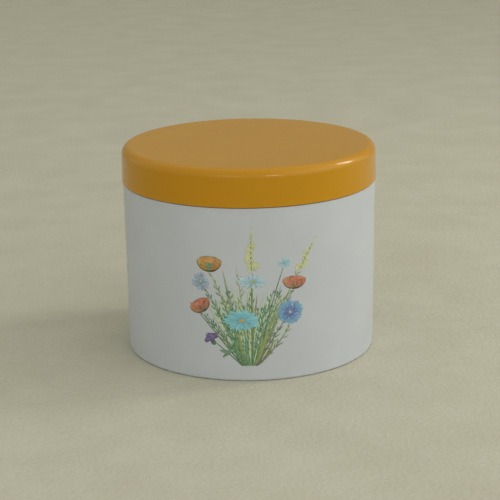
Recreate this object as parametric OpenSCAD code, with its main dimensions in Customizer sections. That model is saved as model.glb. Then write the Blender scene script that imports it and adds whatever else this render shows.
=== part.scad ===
// Round powder drum with a slip lid. Millimetres, +Z up, origin at the middle of the base on the surface it
// stands on. The drum is double walled: an outer wall with a neck, and a powder bowl that hangs in the neck
// by its flange. A sifter plate closes the powder off, a puff lies on the plate, and a lid with a loose
// sealing wad slips over the neck.

/* [Outside] */
// Outside diameter of the lid at its lower edge
lid_d = 102; // [80:0.5:140]
// Height from the surface to the top of the lid
total_h = 83.3; // [70:0.1:120]
// Height of the lid from its lower edge to its top
lid_h = 14.4; // [12:0.1:20]
// How far the lid stands proud of the drum all round
lid_overhang = 0.4; // [0.1:0.1:1.5]
// Width of the hairline between the drum's shoulder and the lid's edge
skirt_gap = 0.3; // [0.1:0.1:0.8]

/* [Lid] */
// Thickness of the lid's top
lid_top_t = 2; // [1.6:0.1:3]
// Thickness of the lid's skirt
lid_wall = 1.5; // [1.2:0.1:2.5]
// Radius of the lid's rounded upper edge
lid_edge_r = 3.3; // [2:0.1:5]
// How much the skirt narrows from its lower edge to the top, per side
lid_draft = 0.25; // [0:0.05:0.5]
// Number of grip ribs inside the skirt
grip_ribs = 12; // [6:2:24]
// Thickness of the sealing wad
wad_t = 1.15; // [0.8:0.05:2]

/* [Drum] */
// Thickness of the outer wall and the neck
drum_wall_t = 2; // [1.4:0.1:3]
// How much the outer wall narrows from the shoulder down to the base, per side
drum_draft = 0.5; // [0:0.1:1]
// Thickness of the base disc
base_t = 2; // [1.4:0.1:3]
// How far the base disc is set up from the surface
base_recess = 2; // [1.5:0.1:3]

/* [Bowl and sifter] */
// Thickness of the bowl's wall
bowl_wall = 1.3; // [1:0.1:2]
// Thickness of the bowl's flange
flange_t = 1.2; // [0.8:0.1:2]
// Height of the powder chamber's floor above the surface
bowl_floor_z = 13; // [11:0.5:20]
// Width of the seat that carries the sifter plate
seat_w = 2.4; // [1.5:0.1:3]
// Empty height over the talc, up to the ring under the sifter plate
talc_room = 19.5; // [4:0.5:28]
// Thickness of the sifter plate
sifter_t = 1.4; // [1:0.1:2]
// Diameter of a sifting hole
hole_d = 2.2; // [1.5:0.1:3]
// Rings of sifting holes round the one in the middle
hole_rings = 5; // [3:1:5]

/* [Puff] */
// Gap round the puff, from its side to the sifter's lifting tabs
puff_gap = 2.9; // [1:0.1:8]
// Thickness of the puff without its strap
puff_t = 9.8; // [8:0.1:12]
// Width of the hand strap
strap_w = 18; // [12:1:26]
// Height of the gap for a finger under the strap
strap_rise = 6.4; // [5:0.1:9]
// Thickness of the ribbon
strap_t = 0.8; // [0.5:0.1:1.5]

/* [Hidden] */
$fn = 96;

// Clearances
rib_slip = 0.1;      // between a grip rib and the neck
rib_rise = 0.5;      // how far a grip rib stands out of the skirt
bowl_slip = 0.3;     // between the bowl and the neck
plate_slip = 0.3;    // between the sifter plate and the walls round it
wad_slip = 0.15;     // between the wad and the skirt
seal_gap = 0.1;      // between the wad and the bowl's flange
post_slip = 0.3;     // between the bowl's floor and the ring under it
hair = 0.05;         // between pieces that clip together
talc_slip = 0.1;     // between the talc and the bowl
puff_lie = 0.2;      // between the puff and the plate under it
strap_clear = 0.9;   // between the strap's top and the level of the bowl's flange

// Lid
lid_r = lid_d / 2;
lid_z = total_h - lid_h;
lid_inner_r = lid_r - lid_wall;
lid_ceiling_z = total_h - lid_top_t;
wad_r = lid_inner_r - wad_slip;
wad_z = lid_ceiling_z - hair - wad_t;
lip_round = 0.4;     // radius of the lid's lower edge
bead_grip = 0.25;    // how far the bead that keeps the wad in reaches under it
bead_h = 0.7;        // height of that bead
rib_w = 1.2;         // width of a grip rib
rib_inset = 1;       // from a rib's ends to the lid's edge and the neck's rim

// Drum
drum_r = lid_r - lid_overhang;
foot_r = drum_r - drum_draft;
shoulder_z = lid_z - skirt_gap;
neck_r = lid_inner_r - rib_rise - rib_slip;
neck_inner_r = neck_r - drum_wall_t;
neck_z = wad_z - seal_gap - flange_t;
shoulder_t = drum_wall_t + 0.2;  // thickness of the wall's step in to the neck
foot_round = 1;      // radius of the edge that the drum stands on
neck_round = 0.5;    // radius of the neck's rim and of the shoulder's edge

// Base disc
disc_r = foot_r - drum_wall_t - hair;
disc_z = base_recess;
catch_w = 1.5;       // width of the ledge over the disc
catch_t = 1.5;       // thickness of that ledge
snap_rise = 0.3;     // how far the snap bead under the disc stands out
snap_lead = 0.6;     // height of the bead's slope for pushing the disc in
post_r = 22;         // outside radius of the ring that backs the bowl
post_t = 1.6;        // wall of that ring, and of the ribs round it
rib_h = 2;           // height of the disc's ribs
rib_end = 2;         // from the ribs' ends to the wall's ledge
disc_ribs = 6;       // number of those ribs
gate_r = 1.2;        // radius of the moulding gate's pip
gate_h = 0.3;        // height of that pip

// Bowl
flange_inset = 0.2;  // how far the flange's edge lies inside the neck's outer face
flange_r = neck_r - flange_inset;
flange_z = neck_z + flange_t;
well_r = neck_inner_r - bowl_slip - bowl_wall;
well_depth = sifter_t + puff_lie + puff_t + strap_rise + strap_t + strap_clear;
well_draft = 0.4;    // how much the puff's well narrows down to the seat, per side
seat_z = flange_z - well_depth;
seat_r = well_r - well_draft;
mouth_r = seat_r - seat_w;
chamber_draft = 2;   // how much the powder chamber narrows down to its floor, per side
floor_r = mouth_r - chamber_draft;
floor_round = 6;     // inside radius between the chamber's floor and wall
lead_in = 0.8;       // bevel round the well's mouth

// Sifter plate
plate_r = seat_r - plate_slip;
plate_z = seat_z + sifter_t;
spigot_h = 3;        // depth of the ring that centres the plate in the bowl's mouth
spigot_t = 1.3;      // wall of that ring
hole_margin = 3.5;   // from the outer ring of holes to the spigot
hole_field_r = mouth_r - plate_slip - spigot_t - hole_d / 2 - hole_margin;
hole_pitch = hole_field_r / hole_rings;
sink = 0.35;         // depth of the countersink on each hole
tab_w = 12;          // width of a lifting tab
tab_h = 6;           // height of a tab over the plate
tab_t = 1.6;         // thickness of a tab
tab_gap = 0.4;       // between a tab and the well's wall

// Talc
talc_z = seat_z - spigot_h - talc_room;
talc_edge = 2;       // how far its surface drops from the middle to the wall
talc_crown = 0.5;    // how far it has dropped at the mound's shoulder
crown_share = 0.6;   // radius of that shoulder as a share of the floor's
crown_r = floor_r * crown_share;

// Puff
puff_r = seat_r - tab_gap - tab_t - puff_gap;
puff_z = plate_z + puff_lie;
cover_t = 2.2;       // thickness of the pile and its cloth
backing_t = 0.8;     // thickness of the satin disc
piping_w = 1.6;      // width of the piping across its section
piping_h = 1.8;      // height of the piping
piping_inset = 0.5;  // how far the piping lies inside the puff's side
puff_side = 1;       // half the height of the straight part of the puff's side
puff_round = puff_t / 2 - puff_side;
cover_z = puff_z + puff_t - backing_t;
backing_r = puff_r - piping_inset - piping_w;
strap_z = puff_z + puff_t;
strap_inset = 6.9;   // from the strap's ends to the satin's edge
strap_end = 7;       // length of each end that is sewn down
strap_half = backing_r - strap_inset - strap_end;
strap_arc_r = (pow(strap_half, 2) + pow(strap_rise, 2)) / (2 * strap_rise);
thread_d = 0.5;      // thickness of the sewing thread
stitches = 5;        // stitches across each end of the strap
stitch_share = 0.6;  // length of a stitch as a share of the pitch
seam_share = 0.7;    // place of the seam along each sewn end
seam_x = strap_half + strap_end * seam_share;

// Points along a quarter turn or less of a circle, from angle a to angle b
function arc(x, z, r, a, b, steps = 8) =
    [for (i = [0:steps]) let (t = a + (b - a) * i / steps) [x + r * cos(t), z + r * sin(t)]];

// Radius of the drum's outer wall at height z, and of the bowl's two tapered stretches inside
function outer_r(z) = foot_r + drum_draft * z / shoulder_z;
function chamber_r(z) = floor_r + chamber_draft * (z - bowl_floor_z) / (seat_z - bowl_floor_z);

// A solid of revolution from an outline in radius and height
module turned(outline) rotate_extrude() polygon(outline);

// Copies of its children, count times round the Z axis
module around(count) for (i = [0:count - 1]) rotate(i * 360 / count) children();

module drum_wall() {
    inner_top = drum_r - drum_wall_t;
    pocket_top = disc_z + base_t + hair;
    pocket_r = disc_r + hair;
    snap_z = disc_z - hair;
    color("white") turned(concat(
        [[pocket_r, 0]],
        arc(foot_r - foot_round, foot_round, foot_round, -90, 0),
        [[outer_r(shoulder_z), shoulder_z - neck_round], [drum_r - neck_round, shoulder_z],
         [neck_r, shoulder_z]],
        arc(neck_r - neck_round, neck_z - neck_round, neck_round, 0, 90),
        [[neck_inner_r, neck_z], [neck_inner_r, shoulder_z - shoulder_t],
         [inner_top, shoulder_z - 2 * shoulder_t],
         [outer_r(pocket_top + catch_t) - drum_wall_t, pocket_top + catch_t + catch_w],
         [pocket_r - catch_w, pocket_top + catch_t],
         [pocket_r - catch_w, pocket_top], [pocket_r, pocket_top], [pocket_r, snap_z],
         [pocket_r - snap_rise, snap_z - snap_rise], [pocket_r, snap_z - snap_rise - snap_lead]]));
}

module base_disc() {
    post_h = bowl_floor_z - bowl_wall - post_slip - disc_z - base_t;
    rib_from = post_r - post_t / 2;
    rib_to = disc_r - catch_w - rib_end;
    color("white") union() {
        translate([0, 0, disc_z]) cylinder(r = disc_r, h = base_t);
        translate([0, 0, disc_z - gate_h]) cylinder(r = gate_r, h = gate_h + base_t / 2);
        translate([0, 0, disc_z + base_t / 2]) difference() {
            cylinder(r = post_r, h = base_t / 2 + post_h);
            translate([0, 0, -1]) cylinder(r = post_r - post_t, h = post_h + base_t + 2);
        }
        around(disc_ribs) translate([rib_from, -post_t / 2, disc_z + base_t / 2])
            cube([rib_to - rib_from, post_t, base_t / 2 + rib_h]);
    }
}

module powder_bowl() {
    outer_round = floor_round + bowl_wall;
    color("ivory") turned(concat(
        [[0, bowl_floor_z], [floor_r - floor_round, bowl_floor_z]],
        arc(floor_r - floor_round, bowl_floor_z + floor_round, floor_round, -90, 0),
        [[mouth_r, seat_z], [seat_r, seat_z], [well_r, flange_z - lead_in],
         [well_r + lead_in, flange_z], [flange_r, flange_z], [flange_r, neck_z],
         [well_r + bowl_wall, neck_z], [seat_r + bowl_wall, seat_z - bowl_wall],
         [mouth_r + bowl_wall, seat_z - bowl_wall]],
        arc(floor_r - floor_round, bowl_floor_z + floor_round, outer_round, 0, -90),
        [[0, bowl_floor_z - bowl_wall]]));
}

module talc_fill() {
    floor_z = bowl_floor_z + talc_slip;
    edge_z = talc_z - talc_edge;
    inner_round = floor_round - 2 * talc_slip;
    color("snow") turned(concat(
        [[0, floor_z]],
        arc(floor_r - floor_round, floor_z + floor_round - talc_slip, inner_round, -90, 0),
        [[chamber_r(edge_z) - 2 * talc_slip, edge_z], [crown_r, talc_z - talc_crown], [0, talc_z]]));
}

// One sifting hole with its countersink, from above
module sifting_hole() {
    translate([0, 0, seat_z - 1]) cylinder(d = hole_d, h = sifter_t + 2, $fn = 24);
    translate([0, 0, plate_z - sink]) cylinder(d1 = hole_d, d2 = hole_d + 4 * sink, h = 2 * sink, $fn = 24);
}

module sifter_plate() {
    spigot_r = chamber_r(seat_z - spigot_h) - plate_slip;
    tab_r = seat_r - tab_gap;
    color("white") union() {
        difference() {
            translate([0, 0, seat_z]) cylinder(r = plate_r, h = sifter_t);
            sifting_hole();
            for (ring = [1:hole_rings]) around(6 * ring) translate([ring * hole_pitch, 0, 0]) sifting_hole();
        }
        translate([0, 0, seat_z - spigot_h]) difference() {
            cylinder(r = spigot_r, h = spigot_h + sifter_t / 2);
            translate([0, 0, -1]) cylinder(r = spigot_r - spigot_t, h = spigot_h + sifter_t + 2);
        }
        around(2) intersection() {
            translate([tab_r - 2 * tab_t, -tab_w / 2, seat_z + sifter_t / 2])
                cube([3 * tab_t, tab_w, sifter_t / 2 + tab_h]);
            difference() {
                translate([0, 0, seat_z]) cylinder(r = tab_r, h = sifter_t + tab_h);
                translate([0, 0, seat_z - 1]) cylinder(r = tab_r - tab_t, h = sifter_t + tab_h + 2);
            }
        }
    }
}

module puff_cover() {
    lip_z = cover_z + backing_t - piping_h;
    centre_r = puff_r - puff_round;
    centre_z = puff_z + puff_round;
    color("wheat") turned(concat(
        [[0, puff_z]],
        arc(centre_r, centre_z, puff_round, -90, 0),
        [[puff_r, lip_z], [backing_r, lip_z], [backing_r, cover_z], [backing_r - cover_t, cover_z]],
        arc(centre_r, centre_z, puff_round - cover_t, 0, -90),
        [[0, puff_z + cover_t]]));
}

module puff_filling() {
    low = puff_z + cover_t + hair;
    side = backing_r - cover_t - hair;
    bevel = puff_round - cover_t;
    color("ivory") turned([[0, low], [side - bevel, low], [side, low + bevel], [side, cover_z - hair],
                           [0, cover_z - hair]]);
}

module puff_backing()
    color("wheat") translate([0, 0, cover_z]) cylinder(r = backing_r - hair, h = backing_t);

module puff_piping() {
    color("goldenrod") translate([0, 0, cover_z + backing_t - piping_h]) difference() {
        cylinder(r = backing_r + piping_w, h = piping_h);
        translate([0, 0, -1]) cylinder(r = backing_r, h = piping_h + 2);
    }
}

module puff_strap() {
    color("goldenrod") union() {
        intersection() {
            translate([0, 0, strap_z + strap_rise - strap_arc_r]) rotate([90, 0, 0]) difference() {
                cylinder(r = strap_arc_r + strap_t, h = strap_w, center = true);
                cylinder(r = strap_arc_r, h = strap_w + 2, center = true);
            }
            translate([-strap_half - strap_t, -strap_w / 2, strap_z])
                cube([2 * (strap_half + strap_t), strap_w, strap_rise + strap_t]);
        }
        for (side = [-1, 1]) translate([side * (strap_half + strap_end / 2), 0, strap_z + strap_t / 2])
            cube([strap_end, strap_w, strap_t], center = true);
    }
}

module strap_stitching() {
    pitch = strap_w / stitches;
    color("darkgoldenrod") for (side = [-1, 1], i = [0:stitches - 1])
        translate([side * seam_x, (i - (stitches - 1) / 2) * pitch, strap_z + strap_t + thread_d / 2])
            rotate([90, 0, 0]) cylinder(d = thread_d, h = pitch * stitch_share, center = true, $fn = 16);
}

module lid_wad() color("lightgrey") translate([0, 0, wad_z]) cylinder(r = wad_r, h = wad_t);

module lid_shell() {
    slope = atan(lid_draft / lid_h);
    edge_z = total_h - lid_edge_r;
    tangent_z = edge_z + lid_edge_r * sin(slope);
    edge_x = lid_r - tan(slope) * (tangent_z - lid_z) - lid_edge_r * cos(slope);
    bead_z = wad_z - hair;
    bead_r = wad_r - bead_grip;
    rib_from_z = lid_z + rib_inset;
    rib_to_z = neck_z - rib_inset;
    color("goldenrod") union() {
        turned(concat(
            arc(lid_r - lip_round, lid_z + lip_round, lip_round, -90, 0, 4),
            arc(edge_x, edge_z, lid_edge_r, slope, 90, 10),
            [[0, total_h], [0, lid_ceiling_z], [lid_inner_r, lid_ceiling_z],
             [lid_inner_r, bead_z], [bead_r, bead_z], [bead_r, bead_z - bead_h / 4],
             [lid_inner_r, bead_z - bead_h], [lid_inner_r, lid_z + lip_round],
             [lid_inner_r + lip_round / 2, lid_z]]));
        around(grip_ribs) intersection() {
            translate([neck_r, -rib_w / 2, rib_from_z])
                cube([lid_wall / 2 + lid_inner_r - neck_r, rib_w, rib_to_z - rib_from_z]);
            difference() {
                cylinder(r = lid_inner_r + lid_wall / 2, h = total_h);
                translate([0, 0, -1]) cylinder(r = neck_r + rib_slip, h = total_h + 2);
            }
        }
    }
}

drum_wall();
base_disc();
powder_bowl();
talc_fill();
sifter_plate();
puff_cover();
puff_filling();
puff_backing();
puff_piping();
puff_strap();
strap_stitching();
lid_wad();
lid_shell();
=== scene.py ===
import bpy
import math
import numpy as np
from mathutils import Matrix, Vector


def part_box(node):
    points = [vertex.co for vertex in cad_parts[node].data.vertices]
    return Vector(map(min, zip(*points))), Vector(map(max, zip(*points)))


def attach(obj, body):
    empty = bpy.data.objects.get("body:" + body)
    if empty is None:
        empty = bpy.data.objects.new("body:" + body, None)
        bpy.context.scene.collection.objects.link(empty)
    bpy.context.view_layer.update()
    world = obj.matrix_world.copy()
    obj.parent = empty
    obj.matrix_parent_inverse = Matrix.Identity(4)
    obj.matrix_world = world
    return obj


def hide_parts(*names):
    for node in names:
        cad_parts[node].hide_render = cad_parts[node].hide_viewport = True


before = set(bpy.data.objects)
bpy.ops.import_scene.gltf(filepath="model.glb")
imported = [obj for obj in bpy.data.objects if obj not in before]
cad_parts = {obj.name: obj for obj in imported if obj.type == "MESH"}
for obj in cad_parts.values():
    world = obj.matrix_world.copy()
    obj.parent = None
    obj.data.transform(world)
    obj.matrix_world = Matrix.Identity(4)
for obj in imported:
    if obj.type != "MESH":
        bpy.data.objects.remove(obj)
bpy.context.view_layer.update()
mm = 0.001
print("frame loaded with", len(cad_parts), "CAD nodes")


# Places and sizes below are in millimetres, as (radius, height) from the drum's axis and its base

def nodeReach(name):
    low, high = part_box(name)
    return high.x / mm, low.z / mm, high.z / mm   # outer radius, lowest and highest point


drumRadius, _, neckTop = nodeReach("drum_wall")
lidRadius, lidLow, lidTop = nodeReach("lid_shell")
flangeRadius, bowlLow, flangeTop = nodeReach("powder_bowl")
_, _, tabTop = nodeReach("sifter_plate")
talcRadius, talcLow, talcTop = nodeReach("talc_fill")
wadRadius, wadLow, wadTop = nodeReach("lid_wad")
puffRadius, puffLow, _ = nodeReach("puff_cover")
satinRadius, satinLow, _ = nodeReach("puff_backing")
pipingRadius, pipingLow, pipingTop = nodeReach("puff_piping")
strapReach, strapLow, _ = nodeReach("puff_strap")


def rounded(corners, closed=False, steps=8, longest=6.0):
    # Path through corners (radius, height, rounding). A rounding r turns a corner of angle t into an arc that
    # touches both sides r / tan(t / 2) away from it. A fifth of r before and after the arc comes a point that
    # holds the straight stretch straight, and no step is over longest.
    spots = np.array([c[:2] for c in corners], float)
    count = len(corners)
    out = []
    for k, (x, z, bend) in enumerate(corners):
        here = spots[k]
        if bend == 0 or (not closed and k in (0, count - 1)):
            out.append(here[None])
            continue
        back, ahead = spots[k - 1] - here, spots[(k + 1) % count] - here
        back, ahead = back / np.linalg.norm(back), ahead / np.linalg.norm(ahead)
        half = math.acos(np.clip(back @ ahead, -1, 1)) / 2
        reach = bend / math.tan(half)
        middle = back + ahead
        centre = here + middle / np.linalg.norm(middle) * bend / math.sin(half)
        start, end = here + back * reach - centre, here + ahead * reach - centre
        share = np.linspace(0, 1, steps + 1)[:, None]
        turn = math.pi - 2 * half
        arc = (np.sin((1 - share) * turn) * start + np.sin(share * turn) * end) / math.sin(turn)
        hold = 0.2 * bend
        out += [(centre + start + back * hold)[None], centre + arc, (centre + end + ahead * hold)[None]]
    path = np.concatenate(out + ([out[0][:1]] if closed else []))
    gaps = np.linalg.norm(np.diff(path, axis=0), axis=1)
    extra = [path[i] + (path[i + 1] - path[i]) * np.linspace(0, 1, int(g // longest) + 2)[:-1, None]
             for i, g in enumerate(gaps)]
    return np.concatenate(extra + ([] if closed else [path[-1:]]))


def gridFaces(rows, columns, wrapRows=False, wrapColumns=True):
    # Quads between neighbouring points of a rows x columns grid
    i = np.arange(rows if wrapRows else rows - 1)[:, None]
    j = np.arange(columns if wrapColumns else columns - 1)[None, :]
    right, up = (j + 1) % columns, (i + 1) % rows
    corners = [i * columns + j, i * columns + right, up * columns + right, up * columns + j]
    return np.stack(corners, -1).reshape(-1, 4)


def newPiece(name, points, faces, body, material, replaced=()):
    mesh = bpy.data.meshes.new(name)
    mesh.from_pydata((np.asarray(points) * mm).tolist(), [], [list(f) for f in faces])
    mesh.polygons.foreach_set("use_smooth", np.ones(len(mesh.polygons), bool))
    piece = bpy.data.objects.new(name, mesh)
    bpy.context.scene.collection.objects.link(piece)
    mesh.materials.append(material)
    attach(piece, body)
    if replaced:
        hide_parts(*replaced)
    return piece


def setGrain(piece, values):
    # The piece's own length, width and a number that tells its strands apart, for the shader
    grain = piece.data.attributes.new("grain", "FLOAT_VECTOR", "POINT")
    values = np.asarray(values, float).reshape(-1)
    room = np.zeros(len(piece.data.vertices) * 3)
    room[:len(values)] = values
    grain.data.foreach_set("vector", room)


def turnedGrid(path, sides, change=None):
    # Surface of revolution: angle a and path point (r, z) give (r cos a, r sin a, z). A path end on the axis
    # becomes one pole point, and a path off the axis closes on itself. change(r, z, a) may reshape it.
    path = np.asarray(path, float)
    firstPole, lastPole = path[0, 0] < 1e-6, path[-1, 0] < 1e-6
    rings = path[int(firstPole):len(path) - int(lastPole)]
    angle = np.linspace(0, 2 * math.pi, sides, endpoint=False)[None]
    r, z = rings[:, :1] + 0 * angle, rings[:, 1:] + 0 * angle
    if change:
        r, z = change(r, z, angle)
    points = np.stack([r * np.cos(angle), r * np.sin(angle), z], -1).reshape(-1, 3)
    faces = gridFaces(len(rings), sides, wrapRows=not firstPole).tolist()
    j = np.arange(sides)
    nextJ = (j + 1) % sides
    if firstPole:
        points = np.vstack([points, [0, 0, z[0].mean()]])
        faces += np.stack([0 * j + len(points) - 1, nextJ, j], -1).tolist()
    if lastPole:
        points = np.vstack([points, [0, 0, z[-1].mean()]])
        edge = (len(rings) - 1) * sides
        faces += np.stack([edge + j, edge + nextJ, 0 * j + len(points) - 1], -1).tolist()
    return points, faces


def ripple(x, y, size, seed, waves=14):
    # Smooth random field: a sum of plane waves of about the given size in random directions, brought back to
    # about -1 to 1 by its usual spread
    rng = np.random.default_rng(seed)
    headings, phases = rng.uniform(0, 2 * math.pi, waves), rng.uniform(0, 2 * math.pi, waves)
    total = 0
    for heading, phase, stretch in zip(headings, phases, rng.uniform(0.7, 1.5, waves)):
        along = x * math.cos(heading) + y * math.sin(heading)
        total = total + np.sin(along * 2 * math.pi / (size * stretch) + phase)
    return total / math.sqrt(waves) / 1.6


# Shader building: each helper adds one node and returns its output

def newMaterial(name):
    material = bpy.data.materials.new(name)
    material.use_nodes = True
    tree = material.node_tree
    return material, tree, tree.nodes["Principled BSDF"]


def addNode(tree, kind, inputs=(), **settings):
    node = tree.nodes.new(kind)
    for key, value in settings.items():
        setattr(node, key, value)
    for key, value in dict(inputs).items():
        if isinstance(value, bpy.types.NodeSocket):
            tree.links.new(value, node.inputs[key])
        else:
            node.inputs[key].default_value = value
    return node


def stretched(tree, spot, scale):
    return addNode(tree, "ShaderNodeMapping", {"Vector": spot, "Scale": scale}).outputs[0]


def place(tree, stretch=(1, 1, 1), turn=0.0):
    # Object coordinates in millimetres, turned and then stretched
    spot = addNode(tree, "ShaderNodeTexCoord").outputs["Object"]
    if turn:
        turned = {"Vector": spot, "Rotation": (turn / 2, 0, turn)}
        spot = addNode(tree, "ShaderNodeMapping", turned).outputs[0]
    return stretched(tree, spot, tuple(s / mm for s in stretch))


def noise(tree, spot, scale, detail=3.0, roughness=0.5):
    return addNode(tree, "ShaderNodeTexNoise", {"Vector": spot, "Scale": scale, "Detail": detail,
                                                "Roughness": roughness}).outputs["Fac"]


def mapped(tree, value, low, high, toLow=0.0, toHigh=1.0):
    ends = {"Value": value, "From Min": low, "From Max": high, "To Min": toLow, "To Max": toHigh}
    return addNode(tree, "ShaderNodeMapRange", ends, interpolation_type="SMOOTHSTEP").outputs[0]


def maths(tree, kind, a, b=0.0):
    return addNode(tree, "ShaderNodeMath", {0: a, 1: b}, operation=kind).outputs[0]


def mixed(tree, share, first, second, kind="MIX"):
    node = addNode(tree, "ShaderNodeMix", data_type="RGBA", blend_type=kind)
    for key, value in ((0, share), (6, first), (7, second)):
        if isinstance(value, bpy.types.NodeSocket):
            tree.links.new(value, node.inputs[key])
        else:
            node.inputs[key].default_value = value if key == 0 else (*value, 1)
    return node.outputs[2]


def bumped(tree, height, depth, before=None):
    inputs = {"Height": height, "Strength": 1.0, "Distance": depth * mm}
    if before:
        inputs["Normal"] = before
    return addNode(tree, "ShaderNodeBump", inputs).outputs[0]


def feed(tree, shader, **sockets):
    # Links or sets the shader's sockets, written in camelCase
    names = {"baseColour": "Base Color", "roughness": "Roughness", "normal": "Normal", "ior": "IOR",
             "specular": "Specular IOR Level", "tint": "Specular Tint", "sheen": "Sheen Weight",
             "sheenRoughness": "Sheen Roughness", "anisotropic": "Anisotropic"}
    for key, value in sockets.items():
        if isinstance(value, bpy.types.NodeSocket):
            tree.links.new(value, shader.inputs[names[key]])
        else:
            shader.inputs[names[key]].default_value = value


def feeding(shader, socket):
    return shader.inputs[socket].links[0].from_socket


def linear(*colour):
    # An 8-bit display colour as linear light
    c = np.array(colour) / 255
    return tuple(np.where(c <= 0.04045, c / 12.92, ((c + 0.055) / 1.055) ** 2.4).tolist())


# Waves to the millimetre of each pattern in moulded plastic, and the scratches' stretches and turns
wear = {"cloud": 0.05, "specks": 1.3, "worn": 0.035, "roughness": 0.12, "wave": 0.25, "plasticIor": 1.49,
        "scratches": (((0.035, 2.2, 2.2), 0.6), ((0.03, 2.6, 0.5), 2.3), ((2.4, 0.03, 0.6), 1.2))}


def plastic(name, look):
    # Moulded plastic: cloudy colour, fine moulding grain, a slow waviness, hairline scratches, handling marks
    material, tree, shader = newMaterial(name)
    spot = place(tree)
    cloud = noise(tree, spot, wear["cloud"], 3)
    colour = mixed(tree, mapped(tree, cloud, 0.3, 0.7), look["colour"], look["cloud"])
    specks = mapped(tree, noise(tree, spot, wear["specks"], 2), 0.74, 0.8)
    colour = mixed(tree, maths(tree, "MULTIPLY", specks, look["specks"]), colour, look["speckColour"])
    streaks = [mapped(tree, noise(tree, place(tree, stretch, turn), 1.0, 2, 0.4), 0.63, 0.66)
               for stretch, turn in wear["scratches"]]
    scratches = maths(tree, "MAXIMUM", maths(tree, "MAXIMUM", streaks[0], streaks[1]), streaks[2])
    worn = mapped(tree, noise(tree, spot, wear["worn"], 4, 0.6), 0.45, 0.75)
    scratches = maths(tree, "MULTIPLY", scratches, worn)
    rough = mapped(tree, noise(tree, spot, wear["roughness"], 4, 0.6), 0.3, 0.7,
                   look["rough"] - look["roughSpread"], look["rough"] + look["roughSpread"])
    rough = maths(tree, "ADD", rough, maths(tree, "MULTIPLY", scratches, look["dulled"]))
    normal = bumped(tree, noise(tree, spot, look["grainScale"], 2), look["grain"])
    normal = bumped(tree, noise(tree, spot, wear["wave"], 1), look["wave"], normal)
    normal = bumped(tree, maths(tree, "MULTIPLY", scratches, -1.0), look["scratch"], normal)
    feed(tree, shader, baseColour=colour, roughness=rough, normal=normal, ior=wear["plasticIor"],
         tint=(*look["tint"], 1))
    shader.inputs["Subsurface Weight"].default_value = look["milk"]
    shader.inputs["Subsurface Radius"].default_value = (mm, mm, mm)
    shader.inputs["Subsurface Scale"].default_value = 1.0
    return material, tree, shader


def dusted(tree, shader, amount, colour):
    # Talc lying on what faces up, in soft patches with crumbs, and thinly everywhere else
    spot = place(tree)
    patches = mapped(tree, noise(tree, spot, 0.16, 5, 0.65), 0.22, 0.58)
    crumbs = mapped(tree, noise(tree, spot, 2.2, 3), 0.5, 0.66)
    facing = addNode(tree, "ShaderNodeNewGeometry").outputs["Normal"]
    facing = addNode(tree, "ShaderNodeSeparateXYZ", {0: facing}).outputs[2]
    upward = mapped(tree, facing, 0.1, 0.9, 0.3, 1.0)
    share, crumbs = (maths(tree, "MULTIPLY", maths(tree, "MULTIPLY", part, upward), amount)
                     for part in (patches, crumbs))
    share = maths(tree, "MAXIMUM", share, crumbs)
    heaped = maths(tree, "MULTIPLY", share, noise(tree, spot, 3.5, 3))
    feed(tree, shader, baseColour=mixed(tree, share, feeding(shader, "Base Color"), colour),
         roughness=mixed(tree, share, feeding(shader, "Roughness"), (0.95,) * 3),
         normal=bumped(tree, heaped, 0.12, feeding(shader, "Normal")))


white = {"colour": linear(200, 206, 211), "cloud": linear(197, 203, 207), "specks": 0.12,
         "speckColour": linear(150, 150, 135), "rough": 0.46, "roughSpread": 0.05, "grain": 0.006,
         "grainScale": 4.0, "wave": 0.03, "scratch": 0.004, "dulled": 0.12, "tint": (1, 1, 1), "milk": 0.08}
ochre = {"colour": linear(199, 142, 5), "cloud": linear(197, 139, 4), "specks": 0.15,
         "speckColour": linear(110, 75, 30), "rough": 0.17, "roughSpread": 0.02, "grain": 0.0015,
         "grainScale": 2.5, "wave": 0.02, "scratch": 0.001, "dulled": 0.05, "tint": (1, 0.95, 0.78),
         "milk": 0.05}
ivory = {**white, "colour": linear(226, 222, 208), "cloud": linear(219, 214, 198), "rough": 0.34,
         "milk": 0.3}
powder = linear(238, 236, 231)
dusting = {"bowl": 0.75, "sifter": 0.9}

drumPlastic = plastic("drum_plastic", white)[0]
lidPlastic = plastic("lid_plastic", ochre)[0]
baseLook = {**white, "rough": 0.38, "colour": linear(200, 205, 206)}
basePlastic, baseTree, baseShader = plastic("base_plastic", baseLook)
rings = addNode(baseTree, "ShaderNodeTexWave", {"Vector": place(baseTree), "Scale": 0.9, "Distortion": 0.2},
                wave_type="RINGS", rings_direction="Z").outputs["Fac"]   # tool marks of the turned mould
feed(baseTree, baseShader, normal=bumped(baseTree, rings, 0.01, feeding(baseShader, "Normal")))
bowlPlastic, bowlTree, bowlShader = plastic("bowl_plastic", ivory)
dusted(bowlTree, bowlShader, dusting["bowl"], powder)
sifterPlastic, sifterTree, sifterShader = plastic("sifter_plastic", {**white, "rough": 0.36})
dusted(sifterTree, sifterShader, dusting["sifter"], powder)
print("plastics ready")


# Drum: outer wall with its foot, shoulder and neck

drum = {"wall": 2.0, "draft": 0.5, "footRound": 1.0, "edgeRound": 0.5, "shoulderRound": 0.2,
        "neckRadius": 48.9, "shoulderGap": 0.3, "discPocket": 4.05, "ledge": 1.5, "ledgeRoot": 7.0,
        "neckRoot": 2.2, "shoulderRoot": 4.4, "snapTop": 1.95, "snapRise": 0.3, "snapLead": 0.6,
        "sag": 0.04, "sides": 300}
shoulder = lidLow - drum["shoulderGap"]
footRadius = drumRadius - drum["draft"]


def wallRadius(height):
    return footRadius + drum["draft"] * height / shoulder


def drumSag(r, z, angle):
    # The moulding has shrunk a few hundredths of a millimetre out of round, most at the middle of its height
    share = np.sin(np.clip(z / shoulder, 0, 1) * math.pi)
    return r + drum["sag"] * share * (np.cos(2 * angle + 0.6) - 0.6 + 0.4 * np.sin(3 * angle)), z


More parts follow.
